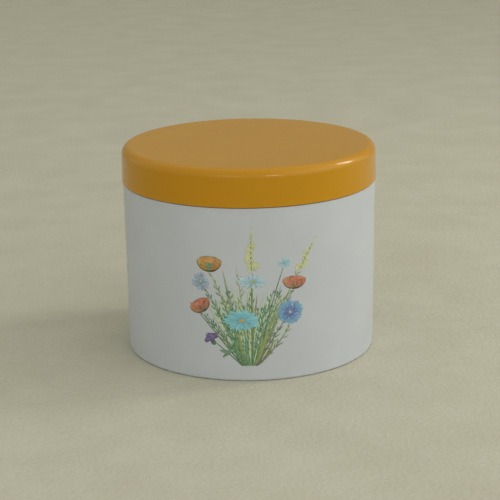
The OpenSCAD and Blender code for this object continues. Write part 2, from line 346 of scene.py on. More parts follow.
def makeDrum():
    wall, neck = drum["wall"], drum["neckRadius"]
    pocket, ledgeTop = footRadius - wall, drum["discPocket"] + drum["ledge"]
    snapLow = drum["snapTop"] - drum["snapRise"]
    corners = [(pocket, 0, 0.25), (footRadius, 0, drum["footRound"]),
               (drumRadius, shoulder, drum["shoulderRound"]), (neck, shoulder, 0.15),
               (neck, neckTop, drum["edgeRound"]), (neck - wall, neckTop, 0.3),
               (neck - wall, shoulder - drum["neckRoot"], 0.6),
               (drumRadius - wall, shoulder - drum["shoulderRoot"], 0.6),
               (wallRadius(drum["ledgeRoot"]) - wall, ledgeTop + drum["ledge"], 0.5),
               (pocket - drum["ledge"], ledgeTop, 0.3), (pocket - drum["ledge"], drum["discPocket"], 0.15),
               (pocket, drum["discPocket"], 0.1), (pocket, drum["snapTop"], 0.05),
               (pocket - drum["snapRise"], snapLow, 0.06), (pocket, snapLow - drum["snapLead"], 0.2)]
    points, faces = turnedGrid(rounded(corners, closed=True), drum["sides"], drumSag)
    return newPiece("drum_outer_wall", points, faces, "drum", drumPlastic, ["drum_wall"])


makeDrum()
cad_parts["base_disc"].material_slots[0].material = basePlastic
print("drum built")


# Printed wild-flower spray: an original drawing, made of thin raised strokes of ink on the front of the drum.
# Places on the drum are (arc length to the right of the front, height), both in millimetres. Plain numbers in
# the flower functions are shares of the flower's own size.

ink = {"lift": 0.012, "layerStep": 0.003, "crown": 0.012, "crownHalf": 0.4, "root": 0.02, "uneven": 0.07,
       "rough": 0.42, "streaks": 0.3, "washedOut": 0.22, "bareWall": (206, 210, 206)}
# Across a stroke: five points on top and three below
inkSection = np.array([-1, -0.6, 0, 0.6, 1, 0.7, 0, -0.7])
inkRise = np.array([0, 0.64, 1, 0.64, 0, -1, -1, -1])
inkDice = np.random.default_rng(41)
inkColours = {name: np.array(linear(*tint)) for name, tint in {
    "stem": (98, 146, 98), "moss": (80, 114, 84), "lime": (150, 174, 96), "olive": (134, 146, 64),
    "plum": (112, 102, 112), "leafTip": (212, 128, 98), "sea": (84, 146, 116), "straw": (194, 186, 112),
    "ochre": (198, 160, 78), "rust": (146, 118, 56), "fern": (104, 162, 104), "red": (206, 110, 76),
    "coral": (212, 142, 104), "umber": (136, 96, 62), "mauve": (186, 198, 222), "slate": (134, 146, 178),
    "sage": (104, 138, 100), "violet": (120, 88, 146), "grape": (94, 74, 110), "teal": (88, 180, 200),
    "aqua": (144, 212, 220), "deep": (58, 138, 170), "orange": (206, 142, 66), "sky": (172, 214, 226),
    "mist": (200, 226, 232), "yellow": (212, 208, 80), "cream": (218, 222, 176), "lemon": (206, 212, 136),
    "blue": (90, 134, 192), "azure": (128, 182, 212), "indigo": (102, 108, 172), "wash": (182, 204, 168),
    "paleWash": (198, 214, 186), "brown": (134, 92, 58)}.items()}


def onDrum(across, height, proud):
    angle = -math.pi / 2 + across / drumRadius
    radius = drumSag(wallRadius(height), height, angle)[0] + proud
    return np.stack([radius * np.cos(angle), radius * np.sin(angle), height], -1)


def strokes(curves, width, tints, layer, form=(1.0, 0.6), steps=10, edge=-0.18):
    # Each stroke follows a cubic Bezier curve p(t). Half its width is width * sin(pi * t ^ skew) ^ blunt,
    # where form is (skew, blunt), and its section is a low crown over a flat bottom sunk into the wall. Colour
    # runs from the first tint to the second, and changes by the share edge towards the stroke's two sides.
    curves = np.asarray(curves, float).reshape(-1, 4, 2)
    count = len(curves)
    width = np.broadcast_to(np.asarray(width, float), (count,))[:, None, None]
    level = ink["lift"] + (layer + inkDice.uniform(0, 0.9, count)[:, None, None]) * ink["layerStep"]
    t = (1 - np.cos(np.pi * np.arange(steps + 1) / steps))[:, None] / 2
    u = 1 - t
    base = np.concatenate([u ** 3, 3 * t * u ** 2, 3 * t ** 2 * u, t ** 3], 1)
    slope = np.concatenate([-u ** 2, u ** 2 - 2 * t * u, 2 * t * u - t ** 2, t ** 2], 1)
    middle, along = np.einsum("tk,nkc->ntc", base, curves), np.einsum("tk,nkc->ntc", slope, curves)
    along /= np.linalg.norm(along, axis=2, keepdims=True) + 1e-9
    side = np.stack([-along[..., 1], along[..., 0]], -1)
    half = width * np.sin(np.pi * np.clip(t.T[..., None], 0, 1) ** form[0]).clip(0) ** form[1]
    spot = middle[:, 1:-1, None] + side[:, 1:-1, None] * (half[:, 1:-1] * inkSection)[..., None]
    crown = ink["crown"] * np.minimum(half[:, 1:-1] / ink["crownHalf"], 1)
    proud = np.where(inkRise < 0, -ink["root"], level + crown * inkRise)
    body = onDrum(spot[..., 0], spot[..., 1], proud).reshape(count, -1, 3)
    ends = onDrum(middle[:, [0, -1], 0], middle[:, [0, -1], 1], 0 * middle[:, [0, -1], 0])
    points = np.concatenate([body, ends], 1)

    share = t[1:-1, :, None] ** 0.8
    first, second = (np.broadcast_to(inkColours[n] if isinstance(n, str) else n, (count, 3)) for n in tints)
    shade = first[:, None, None] * (1 - share) + second[:, None, None] * share
    light = 1 + ink["uneven"] * inkDice.standard_normal(count)[:, None, None, None]
    rim = 1 + edge * (inkSection ** 2)[:, None]
    shade = (shade * light * rim).clip(0, 1).reshape(count, -1, 3)
    shade = np.concatenate([shade, (np.stack([first, second], 1) * light[:, 0]).clip(0, 1)], 1)
    length = np.linalg.norm(np.diff(curves, axis=1), axis=2).sum(1)[:, None, None]
    grain = np.stack([t[None, 1:-1] * length + 0 * half[:, 1:-1] * inkSection, half[:, 1:-1] * inkSection,
                      0 * half[:, 1:-1] * inkSection + 7.3 * np.arange(count)[:, None, None]], -1)
    grain = np.concatenate([grain.reshape(count, -1, 3), np.zeros((count, 2, 3))], 1)

    rings, loop = steps - 1, len(inkSection)
    quads = gridFaces(rings, loop)[:, [0, 3, 2, 1]]
    j = np.arange(loop)
    nextJ, edgeRow = (j + 1) % loop, (rings - 1) * loop
    start, end = rings * loop, rings * loop + 1
    caps = np.concatenate([np.stack([0 * j + start, j, nextJ], -1),
                           np.stack([edgeRow + j, 0 * j + end, edgeRow + nextJ], -1)])
    shift = (np.arange(count) * (end + 1))[:, None, None]
    return {"points": points.reshape(-1, 3), "shade": shade.reshape(-1, 3), "grain": grain.reshape(-1, 3),
            "quads": (quads + shift).reshape(-1, 4), "caps": (caps + shift).reshape(-1, 3)}


def inkPiece(name, groups, material):
    sizes = np.cumsum([0] + [len(g["points"]) for g in groups])[:-1]
    points = np.concatenate([g["points"] for g in groups])
    faces = np.concatenate([g["quads"] + s for g, s in zip(groups, sizes)]).tolist()
    faces += np.concatenate([g["caps"] + s for g, s in zip(groups, sizes)]).tolist()
    piece = newPiece(name, points, faces, "drum", material)
    shade = np.concatenate([g["shade"] for g in groups])
    colours = piece.data.attributes.new("ink", "FLOAT_COLOR", "POINT")
    colours.data.foreach_set("color", np.hstack([shade, np.ones((len(shade), 1))]).ravel())
    setGrain(piece, np.concatenate([g["grain"] for g in groups]))
    return piece


def sweep(start, end, bow=0.0):
    # Cubic curve from start to end, bowed sideways by a share of its length
    start, end = np.broadcast_arrays(np.asarray(start, float), np.asarray(end, float))
    run = end - start
    side = np.stack([-run[..., 1], run[..., 0]], -1) * np.asarray(bow)[..., None]
    return np.stack([start, start + run * 0.35 + side, start + run * 0.7 + side, end], -2)


def petals(centre, inner, outer, headings, squash=1.0, turn=0.0, bow=0.0):
    # Curves that leave the centre at the headings, from radius inner to outer, squashed and then turned
    headings = np.asarray(headings, float)
    ray = np.stack([np.cos(headings), np.sin(headings)], -1)
    flat = np.array([1, squash])
    spin = np.array([[math.cos(turn), math.sin(turn)], [-math.sin(turn), math.cos(turn)]])
    reach = np.asarray(outer, float).reshape(-1, 1)
    return sweep(centre + (ray * inner * flat) @ spin, centre + (ray * reach * flat) @ spin, bow)


def around(count, jitter=0.12, start=0.0, span=2 * math.pi):
    pitch = span / count
    return start + pitch * (np.arange(count) + inkDice.uniform(-jitter, jitter, count) * 2)


def dab(centre, reach, width, tints, layer):
    # One blunt level stroke across the centre
    return strokes(sweep(centre - (reach, 0), centre + (reach, 0)), width, tints, layer, (1.0, 0.5), 8)


def speckle(centre, count, radius, size, tints, layer, squash=1.0):
    # Short dabs scattered over an ellipse
    heading, reach = inkDice.uniform(0, 2 * math.pi, count), radius * np.sqrt(inkDice.uniform(0, 1, count))
    spot = centre + np.stack([np.cos(heading) * reach, np.sin(heading) * reach * squash], -1)
    tip = spot + np.stack([np.cos(heading), np.sin(heading)], -1) * size
    return strokes(sweep(spot, tip), size * 0.42, tints, layer, (1.0, 0.5), 5, 0.0)


def daisy(bloom, layer):
    centre, r, squash, turn = np.array(bloom["at"]), bloom["size"], bloom["squash"], bloom.get("turn", 0.0)
    count = bloom.get("petals", 15)
    out = []
    for row, (reach, share) in enumerate(((1.0, 1.0), (0.86, 0.9))):
        heading = around(count, 0.16, row * math.pi / count)
        outer = r * reach * inkDice.uniform(0.88, 1.06, count)
        curves = petals(centre, 0.1 * r, outer, heading, squash, turn, inkDice.uniform(-0.06, 0.06, count))
        foreshort = np.hypot(np.cos(heading) * squash, np.sin(heading))
        out.append(strokes(curves, r * 0.135 * share * foreshort, bloom["tints"][:2], layer + row * 3,
                           (1.35, 0.55), 10))
        veins = petals(centre, 0.25 * r, outer * 0.8, heading + 0.03, squash, turn)
        out.append(strokes(veins, r * 0.018, (bloom["tints"][2], bloom["tints"][0]), layer + row * 3 + 2,
                           (1.0, 0.3), 5, 0.0))
    out.append(dab(centre, 0.17 * r, 0.16 * r * squash, bloom["eye"], layer + 6))
    out.append(speckle(centre, 16, 0.15 * r, 0.05 * r, bloom["eye"][::-1], layer + 8, squash))
    return out


def cornflower(bloom, layer):
    # Outer florets fork into three teeth on a short stalk, inner ones are single dark strokes
    centre, r, squash = np.array(bloom["at"]), bloom["size"], bloom["squash"]
    heading = around(12, 0.15)
    stalks = petals(centre, 0.22 * r, 0.62 * r * np.ones(12), heading, squash)
    out = [strokes(stalks, 0.13 * r, bloom["tints"][1::-1], layer, (1.2, 0.5), 6)]
    for fork, reach in ((-0.24, 0.95), (0.24, 0.93), (0.0, 1.04)):
        tips = petals(centre, 0, r * reach * inkDice.uniform(0.93, 1.05, 12), heading + fork, squash)[:, 3]
        out.append(strokes(sweep(stalks[:, 2], tips, 0.3 * fork), 0.105 * r, bloom["tints"][:2], layer + 2,
                           (1.1, 0.6), 7))
    inner = petals(centre, 0.1 * r, r * inkDice.uniform(0.4, 0.72, 20), around(20, 0.25), squash)
    out.append(strokes(inner, 0.06 * r, bloom["tints"][::-2], layer + 4, (1.1, 0.6), 6))
    out.append(speckle(centre, 20, 0.24 * r, 0.07 * r, bloom["eye"], layer + 6, squash))
    return out


def poppy(bloom, layer):
    # A cup seen from the side, in its own frame (u across, v up) turned about its middle: pale petals behind,
    # one at each side, a dark one low in front, two that wrap round it, creases and a small heart
    width, height, turn = bloom["size"], bloom["size"] * bloom["squash"], bloom.get("turn", 0.0)
    axes = np.array([[math.cos(turn), math.sin(turn)], [-math.sin(turn), math.cos(turn)]])
    form = np.array([width, height])

    def lay(start, end, bow, broad, tints, step, fall=-0.3):
        start, end = ((np.array(spot) * form) @ axes + bloom["at"] for spot in (start, end))
        return strokes(sweep(start, end, bow), broad * height, tints, layer + step, (1.0, 0.42), 16, fall)

    light, main, dark = bloom["tints"]
    out = [lay((-0.5, 0.16), (0.5, 0.16), 0.03, 0.28, (main, light), 0),
           lay((-0.4, 0.26), (-0.04, 0.4), -0.2, 0.17, (light, main), 1),
           lay((0.0, 0.42), (0.42, 0.25), -0.15, 0.17, (main, light), 1),
           lay((-0.28, 0.38), (-0.14, -0.4), -0.12, 0.28, (light, main), 1),
           lay((0.28, 0.38), (0.14, -0.4), 0.12, 0.28, (main, dark), 1),
           lay((-0.42, -0.12), (0.42, -0.12), -0.12, 0.36, (dark, dark), 2),
           lay((-0.5, 0.26), (0.16, -0.26), -0.26, 0.3, (light, dark), 3),
           lay((0.5, 0.28), (-0.1, -0.24), 0.26, 0.29, (main, dark), 4),
           lay((-0.2, 0.2), (0.22, 0.16), -0.12, 0.2, (light, main), 5, -0.15)]
    lean = np.linspace(-1, 1, 13)
    foot = np.stack([0.06 * lean, -0.42 + 0 * lean], -1) * form
    rim = np.stack([0.45 * lean, 0.06 + 0.2 * np.cos(2.2 * lean)], -1) * form
    creases = sweep(foot @ axes + bloom["at"], rim @ axes + bloom["at"], 0.12 * lean)
    out.append(strokes(creases, 0.014 * width, (dark, main), layer + 6, (0.9, 0.4), 8, 0.0))
    heart = np.array(bloom["at"]) + np.array([0.0, -0.14 * height]) @ axes
    if bloom.get("heart"):
        out.append(dab(heart, 0.14 * width, 0.2 * height, bloom["eye"], layer + 7))
        out.append(speckle(heart, 14, 0.13 * width, 0.035 * width, bloom["eye"][::-1], layer + 8, 0.7))
    base = np.array(bloom["at"]) + np.array([0.0, -0.42 * height]) @ axes
    out.append(dab(base, 0.1 * width, 0.08 * height, bloom["eye"], layer + 7))
    return out


def scabious(bloom, layer):
    # Rings of small frilled petals that shorten towards a pincushion centre
    centre, r, squash = np.array(bloom["at"]), bloom["size"], bloom["squash"]
    out = []
    for row, (reach, count) in enumerate(((1.0, 13), (0.8, 12), (0.58, 11), (0.38, 9))):
        outer = r * reach * inkDice.uniform(0.82, 1.08, count)
        curves = petals(centre, 0.45 * reach * r, outer, around(count, 0.25, row), squash)
        tints = (bloom["tints"][2], bloom["tints"][row % 2])
        out.append(strokes(curves, r * 0.15 * reach ** 0.5, tints, layer + row * 2, (1.3, 0.45), 7))
    out.append(speckle(centre, 34, 0.3 * r, 0.07 * r, bloom["eye"], layer + 8, squash))
    return out


def knapweed(bloom, layer):
    # A tuft of slender strokes over a scaly bulb
    turn, r = bloom.get("turn", 0.0), bloom["size"]
    centre = np.array(bloom["at"])
    axis = np.array([-math.sin(turn), math.cos(turn)])
    bulb = sweep(centre - axis * 0.75 * r, centre + axis * 0.1 * r)
    out = [strokes(bulb, 0.3 * r, bloom["eye"], layer, (0.9, 0.6), 8)]
    for row, (spread, reach, count) in enumerate(((1.5, 1.0, 13), (1.1, 0.8, 11), (0.6, 0.6, 7))):
        heading = math.pi / 2 + turn + np.linspace(-spread, spread, count)
        outer = r * reach * inkDice.uniform(0.85, 1.08, count)
        curves = petals(centre - axis * 0.1 * r, 0.05 * r, outer, heading, 1.0, 0.0,
                        0.12 * np.sign(math.pi / 2 + turn - heading))
        out.append(strokes(curves, 0.11 * r, (bloom["tints"][2], bloom["tints"][row % 2]), layer + 1 + row,
                           (1.5, 0.5), 7))
    out.append(speckle(centre - axis * 0.4 * r, 12, 0.2 * r, 0.08 * r, bloom["eye"][::-1], layer + 5))
    return out


def spike(bloom, layer):
    # Florets in pairs up a stalk, smaller towards its tip, each of three petals round a dark throat
    low, high = np.array(bloom["at"]), np.array(bloom["tip"])
    count = bloom.get("florets", 13)
    share = (np.arange(count) + 0.5) / count
    axis = (high - low) / np.linalg.norm(high - low)
    side = np.array([axis[1], -axis[0]])
    flip = np.where(np.arange(count) % 2, 1.0, -1.0)[:, None]
    reach = (bloom["size"] * (1 - 0.55 * share) * inkDice.uniform(0.5, 1.15, count))[:, None]
    root = low + (high - low) * share[:, None]
    out = [strokes(sweep(low, high, 0.02), 0.2, bloom["eye"], layer, (0.7, 0.3), 10)]
    for lean, length, tint in ((0.2, 1.0, 0), (0.75, 0.85, 1), (-0.35, 0.75, 0)):
        tip = root + (side * flip + axis * lean) * reach * length
        tints = (bloom["tints"][1 - tint], bloom["tints"][tint])
        out.append(strokes(sweep(root, tip, 0.12), reach[:, 0] * 0.24, tints, layer + 2 + tint,
                           (1.4, 0.5), 7))
    throat = root + side * flip * reach * 0.25
    out.append(strokes(sweep(throat, throat + side * flip * reach * 0.2), reach[:, 0] * 0.1, bloom["eye"],
                       layer + 5, (1.0, 0.5), 5, 0.0))
    buds = high + axis * np.array([[0.3], [1.2], [2.1]])
    out.append(strokes(sweep(buds, buds + axis * 0.8), 0.25, bloom["tints"][:2], layer + 3, (1.0, 0.5), 6))
    return out


bloomKinds = {"daisy": daisy, "cornflower": cornflower, "poppy": poppy, "scabious": scabious,
              "knapweed": knapweed, "spike": spike}
spray = {
    "foot": 6.3, "stemWidth": 0.26, "stemBow": 0.03, "stemTip": 0.55, "stemLeaves": (6, 2.4),
    "leafAngle": 0.36, "leafWidth": 0.085, "bladeVein": 0.05,
    "washes": {"count": 46, "footSpan": 2.6, "tipSpan": 16.5, "tipHeight": 38.5, "dome": 9.0,
               "width": (0.45, 0.95)},
    "blooms": [
        {"kind": "spike", "at": (0.4, 44.0), "tip": (0.5, 59.0), "size": 2.9, "stem": 0.2, "florets": 15,
         "tints": ("cream", "lemon"), "eye": ("olive", "lime")},
        {"kind": "spike", "at": (19.0, 43.5), "tip": (24.6, 53.4), "size": 2.4, "stem": 2.3, "florets": 12,
         "tints": ("cream", "lemon"), "eye": ("lime", "olive")},
        {"kind": "daisy", "at": (13.2, 47.0), "size": 3.0, "squash": 0.8, "stem": 1.9, "petals": 9,
         "tints": ("azure", "mist", "sky"), "eye": ("sea", "sky")},
        {"kind": "scabious", "at": (-19.4, 39.4), "size": 3.9, "squash": 0.95, "stem": -1.8,
         "tints": ("mauve", "sky", "slate"), "eye": ("sage", "moss")},
        {"kind": "poppy", "at": (-15.9, 47.0), "size": 8.8, "squash": 0.68, "stem": -1.2,
         "heart": True, "tints": ("ochre", "orange", "rust"), "eye": ("fern", "sage")},
        {"kind": "poppy", "at": (17.0, 39.2), "size": 8.8, "squash": 0.55, "turn": -0.06, "stem": 1.6,
         "tints": ("coral", "red", "umber"), "eye": ("olive", "moss")},
        {"kind": "poppy", "at": (-20.0, 30.0), "size": 8.2, "squash": 0.62, "turn": 0.5, "stem": -2.4,
         "tints": ("coral", "red", "umber"), "eye": ("olive", "moss")},
        {"kind": "daisy", "at": (0.8, 40.0), "size": 6.4, "squash": 0.42, "stem": 0.6, "petals": 15,
         "tints": ("azure", "mist", "sky"), "eye": ("yellow", "lime")},
        {"kind": "cornflower", "at": (15.3, 27.2), "size": 5.3, "squash": 0.95, "stem": 2.0,
         "tints": ("blue", "azure", "indigo"), "eye": ("slate", "indigo")},
        {"kind": "knapweed", "at": (-15.4, 16.6), "size": 3.3, "turn": 0.5, "stem": -3.4,
         "tints": ("violet", "indigo", "grape"), "eye": ("moss", "grape")},
        {"kind": "daisy", "at": (-3.6, 24.7), "size": 7.2, "squash": 0.62, "turn": 0.05, "stem": -0.4,
         "petals": 17, "tints": ("teal", "aqua", "deep"), "eye": ("orange", "straw")}],
    # grasses and leafy stalks: foot, tip, bow, half width, colours, leaves on each side, leaf length
    "grasses": [
        (-3.2, (-10.6, 44.6), 0.0, 0.5, ("moss", "lime"), 0, 0),
        (-2.9, (-5.4, 46.2), -0.03, 0.17, ("stem", "lime"), 6, 2.4),
        (-2.6, (-13.4, 38.8), -0.02, 0.2, ("stem", "sage"), 8, 2.8),
        (-3.4, (-16.6, 34.0), -0.03, 0.2, ("sea", "sage"), 7, 2.6),
        (-2.2, (-8.8, 38.4), 0.0, 0.2, ("stem", "sea"), 7, 3.0),
        (-3.5, (-22.0, 28.6), -0.02, 0.34, ("moss", "sage"), 0, 0),
        (-3.0, (-17.6, 26.6), -0.04, 0.2, ("moss", "stem"), 8, 2.4),
        (-1.8, (-5.6, 34.4), 0.0, 0.22, ("stem", "lime"), 6, 2.6),
        (-1.2, (-1.4, 36.4), 0.0, 0.3, ("moss", "olive"), 0, 0),
        (-0.4, (2.4, 34.8), 0.0, 0.34, ("stem", "brown"), 0, 0),
        (0.0, (0.2, 38.0), 0.0, 0.3, ("lime", "straw"), 0, 0),
        (0.4, (5.4, 31.6), 0.0, 0.2, ("moss", "sea"), 7, 2.8),
        (1.2, (9.0, 37.0), 0.02, 0.24, ("moss", "stem"), 6, 2.6),
        (1.6, (11.4, 34.6), 0.02, 0.26, ("sea", "lime"), 8, 3.2),
        (1.9, (13.4, 34.4), 0.03, 0.24, ("lime", "olive"), 7, 3.0),
        (2.2, (15.4, 22.4), -0.05, 0.3, ("plum", "lime"), 5, 2.8),
        (1.4, (10.2, 29.4), 0.0, 0.22, ("moss", "lime"), 8, 3.0),
        (2.0, (9.4, 24.4), 0.0, 0.26, ("plum", "olive"), 6, 2.8),
        (-0.8, (-8.0, 32.2), 0.0, 0.24, ("stem", "sea"), 8, 3.0),
        (-2.9, (-12.6, 29.4), -0.02, 0.22, ("sea", "stem"), 9, 3.0),
        (0.7, (2.6, 30.4), 0.0, 0.22, ("stem", "sea"), 7, 2.6),
        (-1.6, (-3.2, 32.4), 0.0, 0.22, ("stem", "sea"), 7, 2.6),
        (1.0, (7.4, 33.6), 0.0, 0.2, ("stem", "sea"), 8, 3.0),
        (1.8, (12.0, 38.6), 0.02, 0.2, ("sea", "stem"), 7, 2.8),
        (-3.3, (-9.6, 33.0), 0.0, 0.2, ("moss", "lime"), 8, 2.8),
        (0.2, (-0.8, 33.6), 0.0, 0.2, ("moss", "sea"), 8, 2.4),
        (2.2, (5.8, 15.4), -0.06, 0.32, ("plum", "plum"), 0, 0),
        (2.3, (7.2, 20.4), -0.02, 0.3, ("plum", "sage"), 0, 0)],
    # broad blades low in the bunch: foot, tip, bow, half width, colours
    "blades": [
        (-3.0, (-6.4, 17.0), 0.06, 0.95, ("moss", "fern")),
        (-2.2, (-4.6, 20.0), 0.04, 0.8, ("moss", "lime")),
        (-1.0, (-2.0, 18.6), 0.03, 0.6, ("stem", "sea")),
        (0.8, (4.2, 18.8), -0.08, 0.7, ("moss", "lime")),
        (1.2, (6.2, 21.2), -0.06, 0.75, ("olive", "lime")),
        (2.2, (8.6, 17.2), -0.12, 0.55, ("plum", "olive")),
        (-7.6, (-12.4, 12.6), 0.1, 0.7, ("sea", "sage")),
        (-7.4, (-11.2, 9.4), -0.12, 0.6, ("sea", "sage")),
        (-8.0, (-9.4, 15.4), -0.1, 0.55, ("sea", "sage")),
        (-19.6, (-24.6, 30.8), 0.05, 0.4, ("coral", "leafTip"))]}


def leaves(curve, pairs, length, tints, layer):
    # Narrow leaves scattered along both sides of a stalk's upper three quarters, longest at its middle
    if not pairs:
        return []
    run = (curve[3] - curve[0]) / np.linalg.norm(curve[3] - curve[0])
    out = []
    for flip in (-1, 1):
        t = 0.2 + 0.76 * (np.arange(pairs) + inkDice.uniform(0.05, 0.95, pairs))[:, None] / pairs
        u = 1 - t
        root = u ** 3 * curve[0] + 3 * t * u ** 2 * curve[1] + 3 * t ** 2 * u * curve[2] + t ** 3 * curve[3]
        spread = spray["leafAngle"] + inkDice.uniform(-0.15, 0.25, pairs)
        heading = math.atan2(run[1], run[0]) + flip * spread
        reach = length * (0.6 + 0.5 * np.sin(np.pi * t[:, 0])) * inkDice.uniform(0.6, 1.3, pairs)
        tip = root + np.stack([np.cos(heading), np.sin(heading)], -1) * reach[:, None]
        width = spray["leafWidth"] * length
        out.append(strokes(sweep(root, tip, flip * 0.1), width, tints, layer, (0.9, 0.7), 8))
    return out


def washBlades():
    # Pale blades behind everything fan out from the foot to a ragged dome of tips
    form = spray["washes"]
    count = form["count"]
    share = (np.arange(count) + inkDice.uniform(0.2, 0.8, count)) / count
    lean = (share - 0.5) * 2
    foot = np.stack([-0.6 + form["footSpan"] * lean, spray["foot"] + 0 * lean], -1)
    height = form["tipHeight"] - form["dome"] * lean ** 2 + inkDice.uniform(-9.0, 3.0, count)
    tip = np.stack([-1.5 + form["tipSpan"] * lean, height], -1)
    bow = 0.02 * lean + inkDice.uniform(-0.04, 0.04, count)
    width = inkDice.uniform(*form["width"], count)
    return strokes(sweep(foot, tip, bow), width, ("wash", "paleWash"), 0, (0.85, 0.8), 18, -0.04)


def makeSpray(material):
    greenery, flowers = [washBlades()], []
    for k, (foot, tip, bow, width, tints, pairs, length) in enumerate(spray["grasses"]):
        curve = sweep((foot, spray["foot"] + 0.12 * (k % 3)), tip, bow)
        greenery.append(strokes(curve, width, tints, k % 6, (0.62, 0.5), 26))
        greenery += leaves(curve, pairs, length, tints, 3 + k % 5)
    for k, bloom in enumerate(spray["blooms"]):
        reach = bloom["size"] * 0.5 * (bloom.get("squash", 0) if bloom["kind"] == "poppy" else 0)
        end = np.array(bloom["at"]) - (0, reach)
        bow = spray["stemBow"] * bloom["at"][0] / 20
        curve = sweep((bloom["stem"], spray["foot"]), end, bow)
        tints = (("moss", "stem"), ("stem", "lime"), ("plum", "sage"))[k % 3]
        greenery.append(strokes(curve, spray["stemWidth"], tints, 5 + k % 4, (spray["stemTip"], 0.35), 26))
        if bloom["kind"] not in ("daisy", "knapweed"):
            greenery += leaves(curve, *spray["stemLeaves"], tints, 7)
        flowers += bloomKinds[bloom["kind"]](bloom, 12)
    for foot, tip, bow, width, tints in spray["blades"]:
        start = (foot, spray["foot"] if foot > -5 else 12.0 if foot > -12 else 27.2)
        greenery.append(strokes(sweep(start, tip, bow), width, tints, 8, (0.8, 0.8), 16))
        vein = sweep(start, np.array(tip) * 0.96, bow * 1.2)
        greenery.append(strokes(vein, spray["bladeVein"], ("lime", "lime"), 12, (0.8, 0.5), 12, 0.0))
    inkPiece("print_stems_and_leaves", greenery, material)
    inkPiece("print_blooms", flowers, material)


def printInk():
    # Ink colour from the stroke, washed unevenly and streaked along it
    material, tree, shader = newMaterial("printing_ink")
    colour = addNode(tree, "ShaderNodeAttribute", attribute_name="ink").outputs["Color"]
    grain = addNode(tree, "ShaderNodeAttribute", attribute_name="grain").outputs["Vector"]
    along = stretched(tree, grain, (0.7, 5.0, 1.0))
    streak = mapped(tree, noise(tree, along, 1.2, 3, 0.6), 0.3, 0.75)
    wash = mapped(tree, noise(tree, place(tree), 0.9, 3), 0.35, 0.7)
    streak = maths(tree, "MULTIPLY", streak, ink["streaks"])
    colour = mixed(tree, streak, colour, (0.42, 0.45, 0.42), "OVERLAY")
    colour = mixed(tree, maths(tree, "MULTIPLY", wash, ink["washedOut"]), colour, linear(*ink["bareWall"]))
    feed(tree, shader, baseColour=colour, roughness=ink["rough"], ior=wear["plasticIor"],
         normal=bumped(tree, noise(tree, place(tree), 6.0, 2), 0.004))
    return material


makeSpray(printInk())
print("flower print drawn")


# Lid: rounded shoulder, flat top, grip ribs and bead inside the skirt

lid = {"edgeRound": 3.3, "draft": 0.25, "wall": 1.5, "top": 2.0, "lip": 0.25, "ribs": 12, "ribRise": 0.5,
       "ribHalf": 0.66, "ribEnd": 1.0, "bead": 0.4, "beadLead": 0.7, "dish": 0.12, "wavy": 0.03,
       "waveSize": 60, "sides": 720}


def lidShape(r, z, angle):
    # The flat top sinks by (dish + slow waves) * (1 - (r / R)^2), and a rib is a bump of the inner skirt
    # towards the neck, ribRise * exp(-(d / ribHalf)^4) at the distance d from the rib's middle
    share = r / (lidRadius - lid["edgeRound"])
    wavy = lid["wavy"] * (1 + ripple(r * np.cos(angle), r * np.sin(angle), lid["waveSize"], 5))
    z = z - np.where((z > lidTop - 0.3) & (share < 1), (lid["dish"] + wavy) * (1 - share ** 2), 0)
    inner = np.abs(r - (lidRadius - lid["wall"])) < 0.1
    inner = inner & (z > lidLow + lid["ribEnd"]) & (z < neckTop - lid["ribEnd"])
    pitch = 2 * math.pi / lid["ribs"]
    off = np.abs((angle + pitch / 2) % pitch - pitch / 2) * r / lid["ribHalf"]
    return r - np.where(inner, lid["ribRise"] * np.exp(-off ** 4), 0), z


def makeLid():
    inner, ceiling = lidRadius - lid["wall"], lidTop - lid["top"]
    bead = wadLow - 0.05
    corners = [(0, ceiling, 0), (inner, ceiling, 0.1), (inner, bead, 0.08), (inner - lid["bead"], bead, 0.1),
               (inner, bead - lid["beadLead"], 0.2), (inner, neckTop - lid["ribEnd"], 0),
               (inner, lidLow, 0.3), (lidRadius, lidLow, lid["lip"]),
               (lidRadius - lid["draft"], lidTop, lid["edgeRound"]), (0, lidTop, 0)]
    points, faces = turnedGrid(rounded(corners, steps=10, longest=2.5), lid["sides"], lidShape)
    return newPiece("lid_moulding", points, faces, "lid", lidPlastic, ["lid_shell"])


makeLid()
print("lid built")


# Powder bowl: a flange that hangs on the drum's neck, the puff's well, the sifter's seat, the powder chamber

bowl = {"wall": 1.3, "wellRadius": 45.3, "seatRadius": 44.9, "mouthRadius": 42.5, "floorRadius": 40.5,
        "floorRound": 6.0, "leadIn": 0.8, "soften": 0.3, "plate": 1.4, "tabRise": 6.0, "sides": 240}
seat = tabTop - bowl["tabRise"] - bowl["plate"]


def makeBowl():
    wall, soft = bowl["wall"], bowl["soften"]
    well, mouth, floor = bowl["wellRadius"], bowl["mouthRadius"], bowl["floorRadius"]
    corners = [(0, bowlLow, 0), (floor + wall, bowlLow, bowl["floorRound"] + wall),
               (mouth + wall, seat - wall, soft), (bowl["seatRadius"] + wall, seat - wall, soft),
               (well + wall, neckTop, 0.2), (flangeRadius, neckTop, 0.2), (flangeRadius, flangeTop, soft),
               (well + bowl["leadIn"], flangeTop, soft), (well, flangeTop - bowl["leadIn"], soft),
               (bowl["seatRadius"], seat, 0.15), (mouth, seat, soft),
               (floor, bowlLow + wall, bowl["floorRound"]), (0, bowlLow + wall, 0)]
    points, faces = turnedGrid(rounded(corners), bowl["sides"])
    return newPiece("bowl_moulding", points, faces, "bowl", bowlPlastic, ["powder_bowl"])


talc = {"edgeDrop": 2.0, "lump": 0.35, "lumpSize": 15.0, "crumb": 0.12, "crumbSize": 3.2, "scoop": 2.4,
        "scoopPlace": (12.0, -9.0), "scoopSize": 11.0, "calmEdge": 3.0, "sides": 220, "step": 0.9,
        "shades": ((226, 223, 216), (240, 238, 233))}


